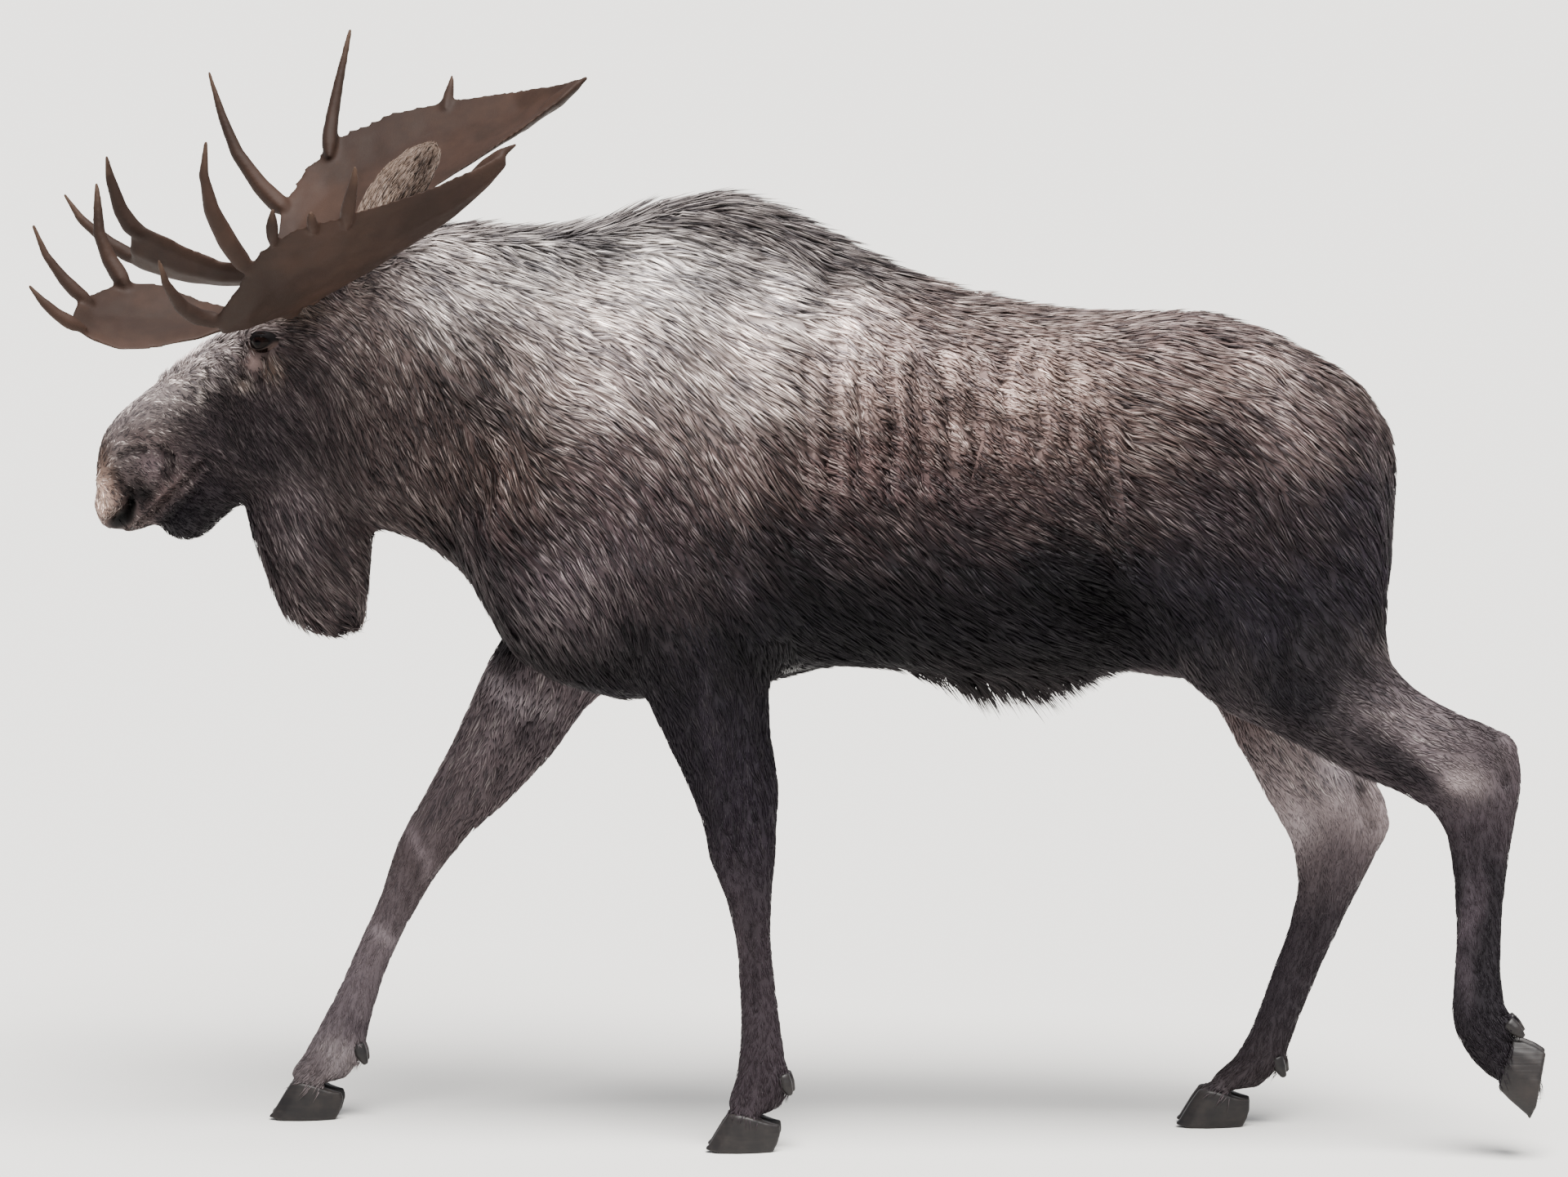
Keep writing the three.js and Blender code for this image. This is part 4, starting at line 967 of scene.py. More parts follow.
@dataclass(frozen=True)
class Combing:
    """The way the hair lies at each vertex of the skin."""

    softness: float = 0.07
    leg_softness: float = 0.05
    leg_lean: Triple = (0.15, 0.0, -0.05)
    bell_way: Triple = (0.22, 0.0, -0.97)

    def at(self, places: Array, normals: Array, nodes: Array, edges: Array) -> Array:
        """Directions along the skin, one row for each vertex."""
        regions = NODE_REGIONS[nodes]
        flow = self._guided(places[:, [0, 2]], BODY_GUIDES)
        head = within(regions, *FACE)
        local = frame_to_head(places[head])[:, [0, 2]]
        flow[head] = turn(self._guided(local, HEAD_GUIDES), HEAD_TURN)
        flow[within(regions, Region.BELL)] = unit(np.array(self.bell_way))
        for name, side in (("ear_left", -1), ("ear_right", 1)):
            flow[on_part(nodes, name)] = unit(turn(np.array([0.48, side * 0.26, 0.84]), HEAD_TURN))
        for leg, bones in BONES.items():
            here = on_part(nodes, leg)
            flow[here] = self._down_leg(places[here], placed(bones))
        flow = diffuse(along_surface(flow, normals), edges, 16)
        return self._swirl(unit(along_surface(flow, normals)), places, normals, regions)

    def _blend(self, places: Array, at: Array, pointing: Array, softness: float) -> Array:
        """Blends directions given at some points by their distance."""
        gap = ((places[:, None, :] - at[None]) ** 2).sum(2)
        weight = (gap + softness**2) ** -3
        return (weight @ pointing) / weight.sum(1, keepdims=True)

    def _guided(self, places: Array, guides: Sequence[Guide]) -> Array:
        """The direction that the guides give at each place."""
        at = np.array([(g.x, g.z) for g in guides])
        pointing = np.array([(g.back, 0.0, g.up) for g in guides])
        return unit(self._blend(places, at, pointing, self.softness))

    def _down_leg(self, places: Array, bones: Array) -> Array:
        """The direction of the nearest stretch of bone, leaning a little back."""
        steps = unit(np.diff(bones, axis=0))
        way = self._blend(places, (bones[1:] + bones[:-1]) / 2, steps, self.leg_softness)
        return unit(way + np.array(self.leg_lean))

    def _swirl(self, flow: Array, places: Array, normals: Array, regions: Array) -> Array:
        """Turns the hair a little this way and that, as it lies on a living animal."""
        swing = 0.15 * ripple(places, 0.16, 11) + 0.10 * ripple(places, 0.06, 12)
        swing *= np.where(within(regions, *TORSO, Region.BELL), 1.0, 0.5)
        return unit(swung(flow, np.cross(normals, flow), swing))


# ---------------- shader writing


class Value:
    """A number that changes over a surface, with Python's own arithmetic."""

    def __init__(self, paint: "Paint", link: Any) -> None:
        """Wraps a socket of the paint's node tree."""
        self.paint = paint
        self.link = link

    def _math(self, operation: str, first: Any, second: Any) -> "Value":
        """Adds a Math node."""
        return self.paint.node("ShaderNodeMath", {"operation": operation}, {0: first, 1: second})

    def __add__(self, other: Any) -> "Value":
        """self + other."""
        return self._math("ADD", self, other)

    def __mul__(self, other: Any) -> "Value":
        """self * other."""
        return self._math("MULTIPLY", self, other)

    def __sub__(self, other: Any) -> "Value":
        """self - other."""
        return self._math("SUBTRACT", self, other)

    def between(self, low: float, high: float) -> "Value":
        """0 at low, 1 at high, smooth between."""
        return self.paint.node(
            "ShaderNodeMapRange",
            {"interpolation_type": "SMOOTHSTEP"},
            {"Value": self, "From Min": low, "From Max": high},
        )


class Paint:
    """Builds one material's node tree."""

    def __init__(self, name: str) -> None:
        """Starts a material with a lone Principled shader."""
        self.material = bpy.data.materials.new(name)
        self.material.use_nodes = True
        self.tree = self.material.node_tree
        self.shader = self.tree.nodes["Principled BSDF"]

    def _plug(self, socket: Any, value: Any) -> None:
        """Links a value or sets a constant on a socket."""
        if isinstance(value, Value):
            self.tree.links.new(value.link, socket)
        elif isinstance(value, tuple) and len(value) == 3 and socket.type == "RGBA":
            socket.default_value = (*value, 1.0)
        else:
            socket.default_value = value

    def node(
        self, kind: str, settings: dict[str, Any], sockets: dict[Any, Any], output: Any = 0
    ) -> Value:
        """Adds a node.

        Args:
            kind: the node's type.
            settings: its properties, set first.
            sockets: the values or links of its inputs, by name or place.
            output: which of its outputs is wanted.

        Returns:
            The output, as a value.
        """
        node = self.tree.nodes.new(kind)
        for key, setting in settings.items():
            setattr(node, key, setting)
        for key, value in sockets.items():
            self._plug(node.inputs[key], value)
        return Value(self, node.outputs[output])

    def set(self, **sockets: Any) -> None:
        """Sets or links inputs of the Principled shader; underscores stand for spaces."""
        for name, value in sockets.items():
            self._plug(self.shader.inputs[name.replace("_", " ")], value)

    def place(self, scale: Sequence[float] = (1.0, 1.0, 1.0)) -> Value:
        """The piece's own coordinates, stretched."""
        coordinates = self.node("ShaderNodeTexCoord", {}, {}, "Object")
        return self.node("ShaderNodeMapping", {}, {"Vector": coordinates, "Scale": tuple(scale)})

    def noise(self, where: Value, scale: float, detail: float = 4.0, rough: float = 0.55) -> Value:
        """Cloudy noise, 0 to 1."""
        sockets = {"Vector": where, "Scale": scale, "Detail": detail, "Roughness": rough}
        return self.node("ShaderNodeTexNoise", {}, sockets, "Fac")

    def number(self, name: str) -> Value:
        """A number stored on the piece."""
        return self.node("ShaderNodeAttribute", {"attribute_name": name}, {}, "Fac")

    def vector(self, name: str) -> Value:
        """A vector or colour stored on the piece."""
        return self.node("ShaderNodeAttribute", {"attribute_name": name}, {}, "Vector")

    def mix(self, factor: Any, first: Any, second: Any) -> Value:
        """Mixes two colours."""
        settings = {"data_type": "RGBA", "clamp_factor": True}
        return self.node("ShaderNodeMix", settings, {0: factor, 6: first, 7: second}, 2)

    def scaled(self, colour: Value, factor: Any) -> Value:
        """A colour made lighter or darker."""
        return self.node("ShaderNodeVectorMath", {"operation": "SCALE"}, {0: colour, "Scale": factor})

    def bump(self, height: Value, strength: float, distance: float) -> Value:
        """A Normal from a height."""
        sockets = {"Height": height, "Strength": strength, "Distance": distance}
        return self.node("ShaderNodeBump", {}, sockets)


@dataclass(frozen=True)
class Finish:
    """A look: its fields hold the colours and shares, and lay() wires them to the shader."""

    name: str

    def material(self) -> bpy.types.Material:
        """Builds the material."""
        paint = Paint(self.name)
        self.lay(paint)
        return paint.material

    def lay(self, paint: Paint) -> None:
        """Wires the look."""
        raise NotImplementedError


@dataclass(frozen=True)
class HairFinish(Finish):
    """The tufts: dark at the root, paler and a little glossy at the tip."""

    name: str = "coat_hair"
    root: float = 0.48
    tip: float = 1.38
    roughness: float = 0.44
    gloss: float = 0.13

    def lay(self, paint: Paint) -> None:
        """Wires the look."""
        tone = paint.vector("tone")
        along = paint.number("along")
        shade = paint.number("shade")
        grain = paint.noise(paint.place(), 42.0, 3.0)
        light = (along * (self.tip - self.root) + self.root) * shade
        light = light * (grain * 0.36 + 0.82)
        paint.set(
            Base_Color=paint.scaled(tone, light),
            Roughness=(grain * 0.2 + (self.roughness - 0.1)),
            Specular_IOR_Level=self.gloss,
        )


@dataclass(frozen=True)
class SkinFinish(Finish):
    """The skin between the tufts: short dark underfur, bare and damp round nose and eyes."""

    name: str = "skin_underfur"
    shade: float = 0.72

    def lay(self, paint: Paint) -> None:
        """Wires the look."""
        tone = paint.vector("tone")
        where = paint.place()
        fur = paint.noise(where, 320.0, 3.0, 0.7)
        mottle = paint.noise(where, 30.0)
        light = (fur * 0.6 + mottle * 0.3 + 0.55) * self.shade
        paint.set(
            Base_Color=paint.scaled(tone, light),
            Roughness=mottle * 0.2 + 0.5,
            Specular_IOR_Level=0.15,
            Normal=paint.bump(fur, 0.5, 0.0015),
        )


@dataclass(frozen=True)
class AntlerFinish(Finish):
    """Brown, furrowed antler, worn paler on ridges and tips."""

    name: str = "antler_bone"
    dark: Colour = linear(34, 23, 18)
    warm: Colour = linear(48, 33, 26)
    pale: Colour = linear(84, 66, 54)

    def lay(self, paint: Paint) -> None:
        """Wires the look."""
        where = paint.place()
        tip = paint.number("tip")
        burr = paint.number("burr")
        cloud = paint.noise(where, 6.0, 5.0)
        streak = paint.noise(paint.place((1.0, 1.0, 0.22)), 60.0, 4.0)
        pore = paint.noise(where, 300.0, 3.0, 0.7)
        colour = paint.mix(cloud.between(0.35, 0.7), self.dark, self.warm)
        colour = paint.mix(streak.between(0.50, 0.80) * (tip * 0.5 + 0.04), colour, self.pale)
        colour = paint.mix(tip * (cloud * 0.5 + 0.10), colour, self.pale)
        colour = paint.mix(pore.between(0.62, 0.80) * 0.25, colour, self.dark)
        pearls = paint.node(
            "ShaderNodeTexVoronoi", {"feature": "F1"}, {"Vector": where, "Scale": 110.0}, "Distance"
        )
        height = streak * (tip * 0.6 + 0.1) + pore * 0.3 - pearls * burr * 0.8
        paint.set(
            Base_Color=colour,
            Roughness=streak * 0.2 + 0.55,
            Specular_IOR_Level=0.14,
            Normal=paint.bump(height, 0.4, 0.003),
        )


@dataclass(frozen=True)
class HoofFinish(Finish):
    """Dark horn with growth rings, scuffed near the ground."""

    name: str = "hoof_horn"
    dark: Colour = linear(16, 13, 14)
    worn: Colour = linear(44, 38, 35)

    def lay(self, paint: Paint) -> None:
        """Wires the look."""
        where = paint.place()
        ring = paint.noise(paint.place((0.2, 0.2, 2.4)), 60.0, 1.0)
        scuff = paint.noise(where, 26.0, 5.0, 0.6)
        colour = paint.mix(scuff.between(0.35, 0.85) * 0.6, self.dark, self.worn)
        paint.set(
            Base_Color=paint.mix(ring.between(0.45, 0.75) * 0.15, colour, self.worn),
            Roughness=scuff * 0.3 + 0.35,
            Specular_IOR_Level=0.3,
            Normal=paint.bump(ring * 0.7 + scuff * 0.2, 0.4, 0.002),
        )


@dataclass(frozen=True)
class EyeFinish(Finish):
    """A wet dark-brown eye with a broad pupil lying level."""

    name: str = "eye_wet"
    pupil: Colour = linear(3, 2, 3)
    iris: Colour = linear(20, 11, 10)
    rim: Colour = linear(12, 7, 6)

    def lay(self, paint: Paint) -> None:
        """Wires the look."""
        opening = paint.number("opening")
        where = paint.place()
        fleck = paint.noise(where, 420.0, 4.0)
        iris = paint.mix(fleck.between(0.35, 0.75), self.rim, self.iris)
        colour = paint.mix(opening.between(0.42, 0.56), self.pupil, iris)
        colour = paint.mix(opening.between(0.85, 1.05), colour, self.rim)
        paint.set(
            Base_Color=colour,
            Roughness=0.07,
            Specular_IOR_Level=0.06,
        )


@dataclass(frozen=True)
class LidFinish(Finish):
    """Bare lid: black and damp at the rim, turning to the face's own brown."""

    name: str = "eyelid"
    wet: Colour = linear(10, 8, 9)

    def lay(self, paint: Paint) -> None:
        """Wires the look."""
        outward = paint.number("outward")
        crease = paint.noise(paint.place(), 240.0, 4.0)
        colour = paint.mix(outward.between(0.15, 0.55), self.wet, paint.vector("tone"))
        paint.set(
            Base_Color=paint.scaled(colour, crease * 0.7 + 0.6),
            Roughness=outward * 0.2 + 0.6,
            Specular_IOR_Level=0.05,
            Normal=paint.bump(crease, 0.4, 0.001),
        )


@dataclass(frozen=True)
class FloorFinish(Finish):
    """A pale, even studio floor."""

    name: str = "studio_floor"
    colour: Colour = linear(214, 212, 208)

    def lay(self, paint: Paint) -> None:
        """Wires the look."""
        cloud = paint.noise(paint.place(), 0.8, 3.0)
        paint.set(
            Base_Color=paint.mix(cloud * 0.06, self.colour, linear(196, 194, 190)),
            Roughness=0.9,
        )


# ---------------- the skin


# (x, y, z) of the eyes, nostrils and mouth on the straight head; y is for the right side.
DETAIL_SPOTS = ((-1.105, 0.10, 1.69), (-1.40, 0.06, 1.36), (-1.33, 0.07, 1.40), (-1.27, 0.05, 1.39))


@dataclass
class Skin:
    """The one skin over all the flesh, with the horn of the feet set in it."""

    horn: Sequence[Mesh]
    voxel: float = 0.0062
    ease_rounds: int = 330
    restore_rounds: int = 220
    bell_top: float = 1.30
    bell_share: float = 0.80
    triangles: int = 172000
    detail_reach: float = 0.075
    leg_top: float = 1.02
    socket_depth: float = 0.008
    socket_radius: float = 0.019
    horn_reach: float = 0.03
    horn_edge: float = 0.004
    horn_ease: float = 0.8
    horn_sink: float = 0.0060
    mesh: Mesh = field(init=False)
    tree: BVHTree = field(init=False)

    def __post_init__(self) -> None:
        """Gathers the flesh nodes and their search trees."""
        flesh, self.owners = merged_copy(NODES)
        horn = joined(self.horn)
        self.form = joined([flesh, horn])
        self.horn_tree, self.form_tree, self.flesh_tree = map(tree_of, (horn, self.form, flesh))

    def _nodes_at(self, places: Array) -> Array:
        """For each place, which flesh node is nearest."""
        find = self.flesh_tree.find_nearest
        return self.owners[[find(tuple(place))[2] for place in places]]

    def _pelt_at(self, places: Array, pick: Callable[[Pelt], float]) -> Array:
        """One size of the pelt at each place."""
        return pelt_field(NODE_REGIONS[self._nodes_at(places)], pick)

    def _refine(self, mesh: Mesh) -> None:
        """Halves the faces round the eyes, nose and mouth."""
        places = read_points(mesh)
        near = np.zeros(len(places), bool)
        for x, y, z in DETAIL_SPOTS:
            for side in (-1, 1):
                centre = head_to_frame(np.array([x, side * y, z]))
                near |= np.linalg.norm(places - centre, axis=1) < self.detail_reach
        bm = bmesh.new()
        bm.from_mesh(mesh)
        bm.verts.ensure_lookup_table()
        edges = [e for e in bm.edges if near[e.verts[0].index] and near[e.verts[1].index]]
        bmesh.ops.subdivide_edges(bm, edges=edges, cuts=1, use_grid_fill=True)
        bmesh.ops.triangulate(bm, faces=[f for f in bm.faces if len(f.verts) > 4])
        bm.to_mesh(mesh)
        bm.free()

    def _relief(self, places: Array, normals: Array, nodes: Array, as_shading: bool = False) -> Array:
        """How far every fold and swelling raises the skin at each place, or how much light and shade it
        paints on the coat there.
        """
        regions = NODE_REGIONS[nodes]
        side = places[:, [0, 2]]
        facing = smoothstep(0.15, 0.65, np.abs(normals[:, 1]))
        body = within(regions, *TORSO, Region.UPPER_LEG)
        sideways = np.abs(turn(normals, -HEAD_TURN)[:, 1])
        drawings = [
            (BODY_STROKES, body & (places[:, 2] > self.leg_top), side, facing),
            (
                HEAD_STROKES, within(regions, *FACE),
                frame_to_head(places)[:, [0, 2]], smoothstep(0.10, 0.50, sideways),
            ),
            *((strokes, on_part(nodes, leg), side, facing) for leg, strokes in LEG_STROKES.items()),
        ]
        rise = np.zeros(len(places))
        for strokes, here, spots, outward in drawings:
            spots, outward = spots[here], outward[here]
            for stroke in strokes:
                rise[here] += stroke.press(spots, outward) * (stroke.shade_share if as_shading else 1.0)
        return rise

    def _sculpt(self, mesh: Mesh) -> None:
        """Presses every fold and swelling into the skin."""
        places = read_points(mesh)
        normals = read_normals(mesh)
        rise = self._relief(places, normals, self._nodes_at(places))
        write_points(mesh, places + normals * (rise + self._sockets(places))[:, None])

    def _sockets(self, places: Array) -> Array:
        """How far the skin sinks round the eyeballs."""
        sink = np.zeros(len(places))
        for side in (-1, 1):
            gap = places - Eyes.centre(side)
            forward = gap @ Eyes.gaze(side)
            across = np.linalg.norm(gap - forward[:, None] * Eyes.gaze(side), axis=1)
            sink -= self.socket_depth * np.exp(-((across / self.socket_radius) ** 4)) * (forward > 0)
        return sink

    def _core(self, places: Array) -> Array:
        """1 inside the horn of the feet, 0 where the hair begins beside it."""
        core = np.zeros(len(places))
        for index in np.flatnonzero(places[:, 2] < HORN_TOP):
            place, normal, _, gap = self.horn_tree.find_nearest(tuple(places[index]))
            if gap < self.horn_reach:
                inside = (np.array(place) - places[index]) @ np.array(normal)
                core[index] = inside / self.horn_edge + 1.2
        return np.clip(core, 0.0, 1.0)

    def _form(self) -> Mesh:
        """The outer form of the flesh, smoothed, sculpted and thinned."""
        mesh = remeshed(self.form.copy(), self.voxel)
        keep_largest(mesh)
        places = read_points(mesh)
        weights = self._pelt_at(places, lambda p: p.ease) * (1 - self.horn_ease * self._core(places))
        mesh = eased(mesh, self.ease_rounds, weights)
        restore(mesh, self.form_tree, self.restore_rounds)
        self._refine(mesh)
        self._sculpt(mesh)
        count = sum(len(p.vertices) - 2 for p in mesh.polygons)
        if count > self.triangles:
            thin = self._pelt_at(read_points(mesh), lambda p: p.thin)
            mesh = thinned(mesh, self.triangles / count, thin)
        return mesh

    def build(self) -> None:
        """Makes the skin's mesh and works out what the coat needs to know at each vertex."""
        self.mesh = mesh = self._form()
        self.edges = edges = read_edges(mesh)
        places = read_points(mesh)
        normals = read_normals(mesh)
        self.nodes = nodes = self._nodes_at(places)
        self.regions = NODE_REGIONS[nodes]
        self.core = self._core(places)
        depth = self.sizes(lambda p: p.depth, 12) + self.horn_sink * self.core
        # Painted light and shade of the folds: each stroke's height times its share of shade.
        relief = self._relief(places, normals, nodes, as_shading=True)
        places = places - normals * depth[:, None]
        bell = diffuse(within(self.regions, Region.BELL) * 1.0, edges, 6)
        hang = np.maximum(self.bell_top - places[:, 2], 0.0)
        places[:, 2] += bell * hang * (1 - self.bell_share)
        write_points(mesh, places)

        self.places = places
        self.normals = read_normals(mesh)
        self.tone = Markings().at(places, nodes, edges, relief)
        self.flow = Combing().at(places, self.normals, nodes, edges)
        self.tree = tree_of(mesh)

    def sizes(self, pick: Callable[[Pelt], float], rounds: int = 10) -> Array:
        """One size of the pelt at each vertex, run together between regions."""
        return diffuse(pelt_field(self.regions, pick), self.edges, rounds)

    def dress(self) -> bpy.types.Object:
        """Puts the skin in the scene."""
        set_attribute(self.mesh, "tone", self.tone)
        self.mesh.shade_smooth()
        obj = new_object("skin", self.mesh)
        return finish_piece(obj, SkinFinish().material(), NODES)


# ---------------- the coat


class Cluster(Enum):
    """The coat's pieces: which regions each holds, and a slot name that nothing reads."""

    BODY = (("trunk", "tail"), "coat")
    NECK = (("neck",), "coat")
    FACE = (("head", "ear"), "coat")
    CHIN = (("lower_jaw", "bell"), "dark_coat")
    THIGHS = (("upper",), "dark_coat")
    SHANKS = (("cannon", "pastern"), "pale_coat")

    def holds(self, node: str) -> bool:
        """Whether a flesh node's hair is in this piece."""
        return any(word in node for word in self.value[0])


@dataclass(frozen=True)
class Growth:
    """How the hair of one place differs from its region's.

    Crowd, length, lift and contrast are shares of the usual; longer and higher are in metres.
    """

    crowd: float = 0.0
    length: float = 0.0
    lift: float = 0.0
    contrast: float = 0.0
    longer: float = 0.0
    higher: float = 0.0


# Each place changes what the places before it have made of the hair.
GROWTHS: dict[str, Growth] = {
    "muzzle": Growth(length=-0.50, lift=-0.50),
    "cheek": Growth(length=0.9),
    "crest": Growth(crowd=0.5, length=0.75, higher=0.016),
    "sheath": Growth(crowd=0.5, length=0.35, higher=0.035),
    "ribs": Growth(crowd=0.6, length=-0.56, lift=-0.35, contrast=-0.35),
    "fringe": Growth(longer=0.026, higher=0.015),
}

# Where a tuft's seven corners lie on its patch of the unwrap.
TUFT_PATCH = (
    (-0.5, -0.5), (0.5, -0.5), (0.0, -0.42), (-0.5, 0.0), (0.5, 0.0), (0.0, 0.08), (0.0, 0.5),
)


@dataclass
class Coat:
    """All the tufts, laid over the skin along its flow.

    Each tuft's line has three stations, for its root, its middle and its tip. They are given as
    shares: of its length, of the way to its clump, and of its lift.
    """

    skin: Skin
    most_tufts: int = 19400
    patch: float = 0.003
    clump_share: float = 0.13
    clump_reach: float = 0.05
    stations: tuple[float, ...] = (0.0, 0.42, 1.0)
    gather: tuple[float, ...] = (0.0, 0.16, 0.45)
    rise: tuple[float, ...] = (-0.12, 0.55, 1.0)
    sway: float = 0.24
    droop: float = 1.3
    least_rise: float = 0.35
    most_rise: float = 0.015
    streak_steps: tuple[float, ...] = (-0.66, -0.33, 0.33, 0.66)
    sides: int = 3
    ring_widths: tuple[float, ...] = (0.62, 1.0)
    ridge: float = 0.9
    roll: float = 1.1
    floor_gap: float = 0.005
    horn_gap: float = 0.0012
    horn_reach: float = 0.05
    horn_depths: tuple[float, ...] = (0.003, 0.007, 0.007)
    neighbours: int = 4
    neighbour_gap: float = 0.003
    unwrap_levels: int = 24
    glint_cream: Triple = (1.07, 0.99, 0.93)
    slate: Triple = (1.00, 0.94, 1.06)

    def __post_init__(self) -> None:
        """Starts the one stream of random numbers."""
        self.rng = np.random.default_rng(SEED)
        self.crowd = 1.0

    def _roots(self) -> dict[str, Array]:
        """Scatters the roots over the skin and reads the skin's fields at each."""
        skin = self.skin
        skin.mesh.calc_loop_triangles()
        triangles = read_rows(skin.mesh.loop_triangles, "vertices", 3, np.int32)
        corner = skin.places[triangles]
        face = np.cross(corner[:, 1] - corner[:, 0], corner[:, 2] - corner[:, 0])
        fields = self._fields()
        density = fields.pop("density")[triangles].mean(1)
        wanted = np.linalg.norm(face, axis=1) / 2 * density * self.crowd
        count = np.floor(wanted + self.rng.random(len(wanted))).astype(int)
        owner = np.repeat(np.arange(len(triangles)), count)
        first, second = self.rng.random((2, len(owner)))
        flip = first + second > 1
        first[flip] = 1 - first[flip]
        second[flip] = 1 - second[flip]
        weight = np.stack([1 - first - second, first, second], axis=1)
        corners = triangles[owner]

        def read(values: Array) -> Array:
            """Reads a field of the skin at the roots."""
            picked = values[corners]
            return (picked * weight.reshape(weight.shape + (1,) * (picked.ndim - 2))).sum(1)

        return {
            "root": read(skin.places),
            "normal": unit(read(skin.normals)),
            "flow": unit(read(skin.flow)),
            "node": skin.nodes[corners[:, 0]],
            **{name: read(values) for name, values in fields.items()},
        }

    def _places(self) -> dict[str, Array]:
        """1 at the heart of each place in GROWTHS, 0 away from it, at each vertex of the skin."""
        skin = self.skin
        head = within(skin.regions, *FACE)
        along = frame_to_head(skin.places)[:, 0]
        return {
            "muzzle": head * (1 - smoothstep(-1.36, -1.14, along)),
            "cheek": head * smoothstep(-1.12, -0.98, along),
            "crest": self._crest(skin.places),
            "sheath": self._sheath(skin.places),
            "ribs": self._ribs(skin.places),
            "fringe": diffuse(smoothstep(0.02, 0.5, skin.core), skin.edges, 4),
        }

    def _fields(self) -> dict[str, Array]:
        """The tufts' density, sizes and freedom at each vertex of the skin."""
        skin = self.skin
        crowd = np.ones(len(skin.places))
        length, lift = skin.sizes(lambda p: p.length), skin.sizes(lambda p: p.lift)
        contrast = skin.sizes(lambda p: p.contrast)
        places = self._places()
        for name, growth in GROWTHS.items():
            here = places[name]
            crowd = crowd + growth.crowd * here
            length = length * (1 + growth.length * here) + growth.longer * here
            lift = lift * (1 + growth.lift * here) + growth.higher * here
            contrast = contrast * (1 + growth.contrast * here)
        bare = np.where(within(skin.regions, *FACE), 1 - self._bare(), 1.0)
        share = bare * (1 - smoothstep(0.5, 0.95, skin.core))
        return {
            "density": share * crowd / skin.sizes(lambda p: p.spacing, 6) ** 2,
            "length": length,
            "width": skin.sizes(lambda p: p.width),
            "lift": lift,
            "contrast": contrast,
            "free": np.maximum(skin.sizes(lambda p: p.free, 8), places["sheath"]),
        }

    def _bare(self) -> Array:
        """1 on the bare skin of eyes, nostrils and pouches, 0 where hair grows."""
        places = self.skin.places
        local = frame_to_head(places)[:, [0, 2]]
        spots = [(np.linalg.norm(places - Eyes.centre(side), axis=1), 0.026, 0.034) for side in (-1, 1)]
        spots += [(np.hypot(*(local - np.array(spot)).T), 0.015, 0.024) for spot in NOSTRIL[1:]]
        spots += [(np.hypot(*(local - np.array(POUCH)).T), 0.012, 0.020)]
        return np.max([1 - smoothstep(inner, outer, gap) for gap, inner, outer in spots], axis=0)

    def _crest(self, places: Array) -> Array:
        """1 along the top of neck and hump, 0 away from it."""
        near = np.exp(-(((places[:, 1] - MIDDLE_Y) / 0.055) ** 2))
        stops, heights = (-0.85, -0.6, -0.3, 0.1, 0.35, 0.6, 1.2), (0.6, 0.8, 1, 1, 0.7, 0.3, 0.2)
        return near * np.interp(places[:, 0], stops, heights) * (places[:, 2] > 1.6)

    def _ribs(self, places: Array) -> Array:
        """1 on the ribs, where short hair shows the folds of the skin."""
        x, z = places[:, 0], places[:, 2]
        along = smoothstep(0.02, 0.10, x) * (1 - smoothstep(0.60, 0.72, x))
        return along * smoothstep(1.33, 1.43, z) * (1 - smoothstep(1.70, 1.80, z))

    def _sheath(self, places: Array) -> Array:
        """1 where the long tufts hang under the belly."""
        near = np.exp(-(((places[:, 1] - MIDDLE_Y) / 0.07) ** 2))
        along = np.exp(-((np.abs(places[:, 0] - 0.42) / 0.19) ** 4))
        return near * along * smoothstep(1.16, 1.08, places[:, 2])

    def _snap(self, points: Array) -> tuple[Array, Array]:
        """The nearest places on the skin and the skin's normals there."""
        find = self.skin.tree.find_nearest
        hits = [find(tuple(point))[:2] for point in points]
        return np.array([hit[0] for hit in hits]), np.array([hit[1] for hit in hits])

    def _clear(self, least: Array) -> None:
        """Raises the tufts that would cut through a fold."""
        for first, share in ((0, 0.2), (1, 1.0)):
            middle = (self.spine[:, first] + self.spine[:, first + 1]) / 2
            under, up = self._snap(middle)
            short = np.clip(share * least - ((middle - under) * up).sum(1), 0.0, self.most_rise)
            self.spine[:, 1:] += (up * short[:, None])[:, None]

    def _over_horn(self) -> Array:
        """Lays hair over the horn instead of through it; says which tufts can stay."""
        stays = np.ones(len(self.spine), bool)
        for index in np.flatnonzero(self.spine[:, 0, 2] < HORN_TOP):
            for station, depth in enumerate(self.horn_depths):
                point = self.spine[index, station]
                place, normal, _, gap = self.skin.horn_tree.find_nearest(tuple(point))
                inside = (np.array(place) - point) @ np.array(normal)
                if gap > self.horn_reach or inside < -self.horn_gap:
                    continue
                stays[index] &= inside < depth
                if station:
                    self.spine[index, station] = np.array(place) + np.array(normal) * self.horn_gap
        return stays

    def _tone_under(self, points: Array) -> Array:
        """The skin's colour round each point, nearest vertices first."""
        tree = point_tree(self.skin.places)
        tones = np.empty((len(points), 3))
        for row, point in enumerate(points):
            near = tree.find_n(point, self.neighbours)
            weight = np.array([1 / (gap + self.neighbour_gap) ** 2 for _, _, gap in near])
            tones[row] = weight @ self.skin.tone[[index for _, index, _ in near]] / weight.sum()
        return tones

